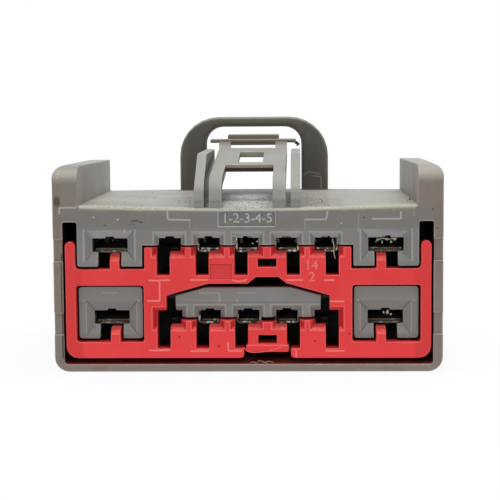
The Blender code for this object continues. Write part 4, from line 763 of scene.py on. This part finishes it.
def strand(name, lines, radius, look):
    """Fine round threads of flash or hair along lines of points in millimetres."""
    curve = bpy.data.curves.new(name, "CURVE")
    curve.dimensions = "3D"
    curve.bevel_depth = radius * MM
    curve.bevel_resolution = 1
    curve.use_fill_caps = True
    curve.resolution_u = 4
    for points in lines:
        line = curve.splines.new("NURBS")
        line.points.add(len(points) - 1)
        line.use_endpoint_u = True
        line.order_u = 3
        for place, point in enumerate(points):
            line.points[place].co = (*(part * MM for part in point), 1.0)
    thing = bpy.data.objects.new(name, curve)
    bpy.context.scene.collection.objects.link(thing)
    bpy.context.view_layer.update()
    return plain_mesh(thing, name, look)


def crumbs(name, spots, look):
    """Small rough lumps, each given as (x, y, z, size) in millimetres."""
    chance = random.Random(7)
    shape = bmesh.new()
    for x, y, z, size in spots:
        ball = bmesh.ops.create_icosphere(shape, subdivisions=1, radius=size / 2 * MM)
        stretch = Vector([chance.uniform(0.5, 1.3) for _ in range(3)])
        for corner in ball["verts"]:
            wobble = chance.uniform(0.75, 1.2)
            corner.co = Vector([a * b * wobble for a, b in zip(corner.co, stretch)])
            corner.co += Vector((x, y, z)) * MM
    mesh = bpy.data.meshes.new(name)
    shape.to_mesh(mesh)
    shape.free()
    return outward(mesh, name, look)


def plain_look(name, colour, rough):
    """A plain dusty finish with a little mottling, for figures, flash, dirt and a dark bar of painted
    shade.
    """
    shade = Shade(name, Specular_IOR_Level=0.3)
    mottle = shade.noise(4.0, 3)
    dull = rgb(*(part * 0.7 for part in colour))
    return shade.set(
        Base_Color=shade.mix(mottle.ramp(0.3, 0.7), dull, rgb(*colour)),
        Roughness=rough + 0.15 * mottle,
        Normal=shade.bump(mottle, 0.01 * MM, 0.3),
    )


class Scatter:
    """Builds one Geometry Nodes tree; every node comes from one method."""

    def __init__(self, name):
        self.tree = bpy.data.node_groups.new(name, "GeometryNodeTree")
        self.names = {}

    def socket(self, name, kind, direction="INPUT"):
        made = self.tree.interface.new_socket(name, in_out=direction, socket_type=kind)
        self.names[name] = made.identifier
        return made

    def node(self, kind, settings=None, inputs=None):
        node = self.tree.nodes.new(kind)
        for name, value in (settings or {}).items():
            setattr(node, name, value)
        for name, value in (inputs or {}).items():
            if isinstance(value, bpy.types.NodeSocket):
                self.tree.links.new(value, node.inputs[name])
            else:
                node.inputs[name].default_value = value
        return node


def grit_tree(look):
    """Scatters small flattened grains over a patch of surface."""
    scatter = Scatter("grit")
    scatter.socket("Geometry", "NodeSocketGeometry")
    scatter.socket("Density", "NodeSocketFloat")
    scatter.socket("Smallest", "NodeSocketFloat")
    scatter.socket("Largest", "NodeSocketFloat")
    scatter.socket("Geometry", "NodeSocketGeometry", "OUTPUT")
    given = scatter.node("NodeGroupInput").outputs
    spots = scatter.node(
        "GeometryNodeDistributePointsOnFaces",
        None,
        {"Mesh": given["Geometry"], "Density": given["Density"], "Seed": 11},
    )
    grain = scatter.node("GeometryNodeMeshIcoSphere", None, {"Radius": 0.5, "Subdivisions": 1})
    size = scatter.node(
        "FunctionNodeRandomValue",
        {"data_type": "FLOAT_VECTOR"},
        {"Min": (0.5, 0.5, 0.25), "Max": (1.5, 1.2, 0.6), "Seed": 3},
    )
    amount = scatter.node("FunctionNodeRandomValue", {"data_type": "FLOAT"}, {"Seed": 5})
    ends = [socket for socket in amount.inputs if socket.name in ("Min", "Max")]
    low, high = [socket for socket in ends if socket.type == "VALUE"]
    scatter.tree.links.new(given["Smallest"], low)
    scatter.tree.links.new(given["Largest"], high)
    scaled = scatter.node("ShaderNodeVectorMath", {"operation": "SCALE"}, {"Vector": size.outputs[0]})
    scatter.tree.links.new(amount.outputs[1], scaled.inputs["Scale"])
    placed = scatter.node(
        "GeometryNodeInstanceOnPoints",
        None,
        {
            "Points": spots.outputs["Points"],
            "Instance": grain.outputs["Mesh"],
            "Rotation": spots.outputs["Rotation"],
            "Scale": scaled.outputs[0],
        },
    )
    real = scatter.node("GeometryNodeRealizeInstances", None, {"Geometry": placed.outputs[0]})
    dressed = scatter.node("GeometryNodeSetMaterial", None, {"Geometry": real.outputs[0], "Material": look})
    scatter.node("NodeGroupOutput", None, {"Geometry": dressed.outputs[0]})
    return scatter


def deck_grit(source, name, look, patches):
    """Grains lying on parts of the deck, each part given as its ends in x and y in millimetres,
    and its number of grains to the square millimetre."""
    scatter = grit_tree(look)
    pieces = []
    for across, along, density in patches:
        shape = bmesh.new()
        rows = []
        for part in range(BORDER_STEPS + 1):
            x = across[0] + (across[1] - across[0]) * part / BORDER_STEPS
            rows.append([shape.verts.new((x * MM, y * MM, deck_level(source, x, y) * MM)) for y in along])
        for near, far in zip(rows, rows[1:]):
            shape.faces.new((near[0], far[0], far[1], near[1]))
        mesh = bpy.data.meshes.new("deck_patch")
        shape.to_mesh(mesh)
        shape.free()
        thing = bpy.data.objects.new("deck_patch", mesh)
        bpy.context.scene.collection.objects.link(thing)
        step = thing.modifiers.new("grit", "NODES")
        step.node_group = scatter.tree
        step[scatter.names["Density"]] = density * 1e6
        step[scatter.names["Smallest"]] = 0.05 * MM
        step[scatter.names["Largest"]] = 0.17 * MM
        evaluated = thing.evaluated_get(bpy.context.evaluated_depsgraph_get())
        pieces.append(bpy.data.meshes.new_from_object(evaluated))
        thing.modifiers.clear()
        bpy.data.objects.remove(thing)
    whole = bmesh.new()
    for mesh in pieces:
        whole.from_mesh(mesh)
    mesh = bpy.data.meshes.new(name)
    whole.to_mesh(mesh)
    whole.free()
    return outward(mesh, name, look)


def deck_level(source, x, y):
    """Height of the deck in millimetres at a place, from the housing's own surface."""
    down = Vector((0, 0, -1))
    hit, spot, *_ = source.ray_cast(Vector((x * MM, y * MM, 17.6 * MM)), down)
    return spot.z / MM if hit else 17.0


def seated(piece, body, slot=None, *nodes):
    """Lets a piece ride on its body, and stand for the solids that it replaces."""
    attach(piece, body)
    if nodes:
        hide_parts(*nodes)


# Scene around the connector

def seen_white(tree, lit, share):
    """Mixes a shader with plain white, which the camera and reflections see by a share."""
    rays = tree.nodes.new("ShaderNodeLightPath")
    seen = rays.outputs["Is Camera Ray"]
    for name in ("Is Glossy Ray", "Is Transmission Ray"):
        most = tree.nodes.new("ShaderNodeMath")
        most.operation = "MAXIMUM"
        tree.links.new(seen, most.inputs[0])
        tree.links.new(rays.outputs[name], most.inputs[1])
        seen = most.outputs[0]
    factor = tree.nodes.new("ShaderNodeMath")
    factor.operation = "MULTIPLY"
    tree.links.new(seen, factor.inputs[0])
    if isinstance(share, Wire):
        tree.links.new(share.socket, factor.inputs[1])
    else:
        factor.inputs[1].default_value = share
    white = tree.nodes.new("ShaderNodeEmission")
    blend = tree.nodes.new("ShaderNodeMixShader")
    tree.links.new(factor.outputs[0], blend.inputs[0])
    tree.links.new(lit, blend.inputs[1])
    tree.links.new(white.outputs[0], blend.inputs[2])
    return blend.outputs[0]


def floor_and_air():
    """A pale floor that keeps the connector's shadow, and plain white air around it."""
    mesh = bpy.data.meshes.new("floor")
    shape = bmesh.new()
    bmesh.ops.create_grid(shape, x_segments=1, y_segments=1, size=1.2)
    shape.to_mesh(mesh)
    shape.free()
    floor = bpy.data.objects.new("floor", mesh)
    floor.location = (0, 0, -0.02 * MM)
    bpy.context.scene.collection.objects.link(floor)
    pale = Shade("pale_floor", Base_Color=rgb(0.85, 0.85, 0.85), Roughness=0.9, Specular_IOR_Level=0.0)
    away = (pale.x * pale.x + pale.y * pale.y) ** 0.5
    share = 0.9 + 0.1 * away.ramp(40, 110)
    lit = seen_white(pale.tree, pale.surface.outputs[0], share)
    pale.tree.links.new(lit, pale.tree.nodes["Material Output"].inputs["Surface"])
    mesh.materials.append(pale.material)

    world = bpy.data.worlds.new("air")
    world.use_nodes = True
    tree = world.node_tree
    light = tree.nodes["Background"]
    light.inputs["Color"].default_value = rgb(1.0, 1.0, 1.0)
    light.inputs["Strength"].default_value = SKY
    tree.links.new(seen_white(tree, light.outputs[0], 1.0), tree.nodes["World Output"].inputs["Surface"])
    bpy.context.scene.world = world


def softbox(name, place, target, size, power):
    """A large soft lamp that looks at the connector."""
    light = bpy.data.lights.new(name, "AREA")
    light.shape = "RECTANGLE"
    light.size, light.size_y = size
    light.energy = power
    holder = bpy.data.objects.new(name, light)
    holder.location = place
    aim = Vector(target) - Vector(place)
    holder.rotation_euler = aim.to_track_quat("-Z", "Y").to_euler()
    bpy.context.scene.collection.objects.link(holder)


def camera():
    """Stands in front of the mating face, a little above and to the right, looking slightly down."""
    lens = bpy.data.cameras.new("camera")
    lens.sensor_width = 36.0
    lens.lens = LENS
    lens.clip_start = 0.005
    holder = bpy.data.objects.new("camera", lens)
    ahead = Vector(CAMERA_AHEAD).normalized()
    up = Vector(CAMERA_RIGHT).cross(ahead).normalized()
    right = ahead.cross(up).normalized()
    turn = Matrix((right, up, -ahead)).transposed().to_4x4()
    roll = Matrix.Rotation(math.radians(CAMERA_ROLL), 4, "Z")
    holder.matrix_world = Matrix.Translation(Vector(CAMERA_PLACE)) @ turn @ roll
    bpy.context.scene.collection.objects.link(holder)
    bpy.context.scene.camera = holder


camera()
floor_and_air()
softbox("overhead", (0.05, -0.05, 0.5), (0, 0, 0.01), (0.5, 0.5), 2.3)
softbox("front_fill", (-0.1, -0.6, 0.12), (0, 0, 0.01), (0.4, 0.3), 0.5)

HOUSING_LOOKS = [housing_finish("housing_plastic"), housing_finish("housing_edge_highlight", edge=True)]
RETAINER_LOOKS = [retainer_finish("retainer_plastic"), retainer_finish("retainer_edge_highlight", edge=True)]
TERMINAL_LOOK = terminal_finish()

housing = moulded_copy("housing", "housing_moulding", HOUSING_LOOKS, HOUSING_ROUNDING)
seated(housing, "housing", "housing_grey", "housing")
retainer = moulded_copy("front_retainer", "retainer_moulding", RETAINER_LOOKS, RETAINER_ROUNDING)
seated(retainer, "retainer", "retainer_red", "front_retainer")

PALE_FIGURE = plain_look("raised_figures", (0.42, 0.43, 0.4), 0.5)
RED_FIGURE = plain_look("red_figures", (0.88, 0.17, 0.16), 0.4)
DARK_DIRT_AND_SHADE = plain_look("dark_dirt_and_shade", (0.05, 0.04, 0.032), 0.75)
PALE_DIRT = plain_look("pale_dirt", (0.5, 0.47, 0.4), 0.8)
PALE_FLASH = plain_look("pale_flash", (0.52, 0.47, 0.42), 0.5)

label_front = LABEL_FLOOR - 0.12 * MM
label = numerals("label_figures", "1-2-3-4-5", (-2.6, 15.42), 0.98, label_front, 0.14, PALE_FIGURE)
seated(label, "housing")
marks = numerals("post_figures", "14\n 2", (5.85, 10.55), 1.0, RETAINER_FACE - 0.05 * MM, 0.08, RED_FIGURE)
seated(marks, "retainer")
grit = deck_grit(
    housing,
    "deck_grit",
    DARK_DIRT_AND_SHADE,
    [
        ((5.9, 8.4), (-12.4, -2.0), 5.0),
        ((5.9, 8.4), (-2.0, 9.0), 2.0),
        ((-8.6, -6.0), (-12.6, 2.0), 1.4),
        ((-2.3, 2.3), (-12.9, -6.0), 5.0),
        ((-2.3, 2.3), (-6.0, 2.0), 2.2),
        ((-16.5, -9.5), (-12.8, 10.0), 0.12),
        ((9.5, 16.5), (-12.8, 10.0), 0.16),
    ],
)
seated(grit, "housing")

dark_crumbs = crumbs(
    "entry_dirt",
    [
        (-15.6, DEPTH + 1.0, 13.5, 0.2), (-15.2, DEPTH + 1.0, 13.75, 0.24), (-14.7, DEPTH + 1.0, 13.6, 0.2),
        (-14.3, DEPTH + 1.0, 13.8, 0.18), (-13.9, DEPTH + 1.0, 13.6, 0.22), (-13.4, DEPTH + 1.0, 13.5, 0.2),
        (-5.0, DEPTH + 1.4, 17.2, 0.3), (-4.7, DEPTH + 3.2, 17.2, 0.26), (-5.1, DEPTH + 4.6, 17.2, 0.24),
        (3.8, DEPTH + 3.6, 17.15, 0.24), (4.2, DEPTH + 5.0, 17.15, 0.2), (17.0, DEPTH + 6.0, 17.35, 0.2),
        (16.6, DEPTH + 4.0, 17.3, 0.16), (5.05, 9.9, 22.92, 0.42), (5.24, 9.9, 22.78, 0.36),
        (5.12, 9.8, 22.62, 0.3),
    ],
    DARK_DIRT_AND_SHADE,
)
seated(dark_crumbs, "housing")
pale_crumbs = crumbs(
    "entry_dust",
    [
        (13.3, DEPTH + 0.95, 13.55, 0.34), (13.8, DEPTH + 0.95, 13.3, 0.3),
        (14.3, DEPTH + 0.95, 13.6, 0.42),
        (14.7, DEPTH + 0.95, 13.3, 0.28), (15.1, DEPTH + 0.95, 13.6, 0.3), (14.0, DEPTH + 1.7, 5.9, 0.36),
        (14.4, DEPTH + 1.7, 5.95, 0.44), (14.75, DEPTH + 1.7, 5.7, 0.3), (-4.6, DEPTH + 1.0, 17.2, 0.34),
        (-5.2, DEPTH + 2.4, 17.2, 0.2), (3.7, DEPTH + 2.6, 17.1, 0.26), (-19.75, DEPTH + 0.3, 0.9, 0.3),
        (-19.7, DEPTH + 0.5, 0.55, 0.26), (1.0, DEPTH + 0.9, 13.4, 0.22), (0.5, DEPTH + 0.9, 13.2, 0.2),
    ],
    PALE_DIRT,
)
seated(pale_crumbs, "housing")
# Painted shade as a piece: a plain dark bar under the latch's cross beam, standing for the shade there.
beam_shadow_strip = bar("latch_beam_shade_strip", (-2.55, -4.15, 20.18), (2.55, -3.6, 20.6), DARK_DIRT_AND_SHADE)
seated(beam_shadow_strip, "housing")
hairs = strand(
    "gap_hairs",
    [
        [(0.2, DEPTH + 0.25, 0.86), (0.5, DEPTH + 0.15, 1.1), (0.85, DEPTH + 0.2, 0.84)],
        [
            (0.9, DEPTH + 0.3, 0.86), (1.15, DEPTH + 0.2, 1.22),
            (1.5, DEPTH + 0.25, 0.95), (2.0, DEPTH + 0.2, 0.86),
        ],
        [(1.6, DEPTH + 0.3, 0.86), (2.1, DEPTH + 0.2, 1.18), (2.6, DEPTH + 0.3, 0.88)],
    ],
    0.03,
    PALE_DIRT,
)
seated(hairs, "housing")
threads = strand(
    "moulding_flash",
    [
        [
            (-1.62, DEPTH + 0.12, 13.2), (-1.78, DEPTH + 0.08, 13.75), (-1.45, DEPTH + 0.08, 14.15),
            (-1.05, DEPTH + 0.08, 13.9), (-1.12, DEPTH + 0.1, 13.5),
        ],
        [
            (8.68, DEPTH + 0.6, 13.62), (8.95, DEPTH + 0.7, 12.9),
            (8.78, DEPTH + 0.8, 12.2), (9.02, DEPTH + 0.8, 11.6),
        ],
        [
            (-5.3, DEPTH + 2.6, 17.3), (-4.8, DEPTH + 1.4, 17.5),
            (-4.4, DEPTH + 2.8, 17.35), (-4.7, DEPTH + 3.6, 17.6),
        ],
        [
            (13.1, DEPTH + 0.9, 13.3), (13.7, DEPTH + 0.75, 13.8),
            (14.5, DEPTH + 0.8, 13.5), (15.3, DEPTH + 0.9, 13.75),
        ],
    ],
    0.05,
    PALE_FLASH,
)
seated(threads, "housing")
lip = strand(
    "clip_flash",
    [
        [
            (-0.45, DEPTH + 0.1, 2.5), (-0.1, DEPTH + 0.08, 1.98), (1.2, DEPTH + 0.08, 2.0),
            (2.6, DEPTH + 0.08, 2.2), (3.75, DEPTH + 0.1, 2.72), (4.1, DEPTH + 0.12, 2.6),
        ]
    ],
    0.05,
    RED_FIGURE,
)
seated(lip, "retainer")
for node_name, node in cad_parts.items():
    if "terminal" in node_name:
        node.material_slots[0].material = TERMINAL_LOOK

bpy.context.scene.view_settings.view_transform = "Standard"
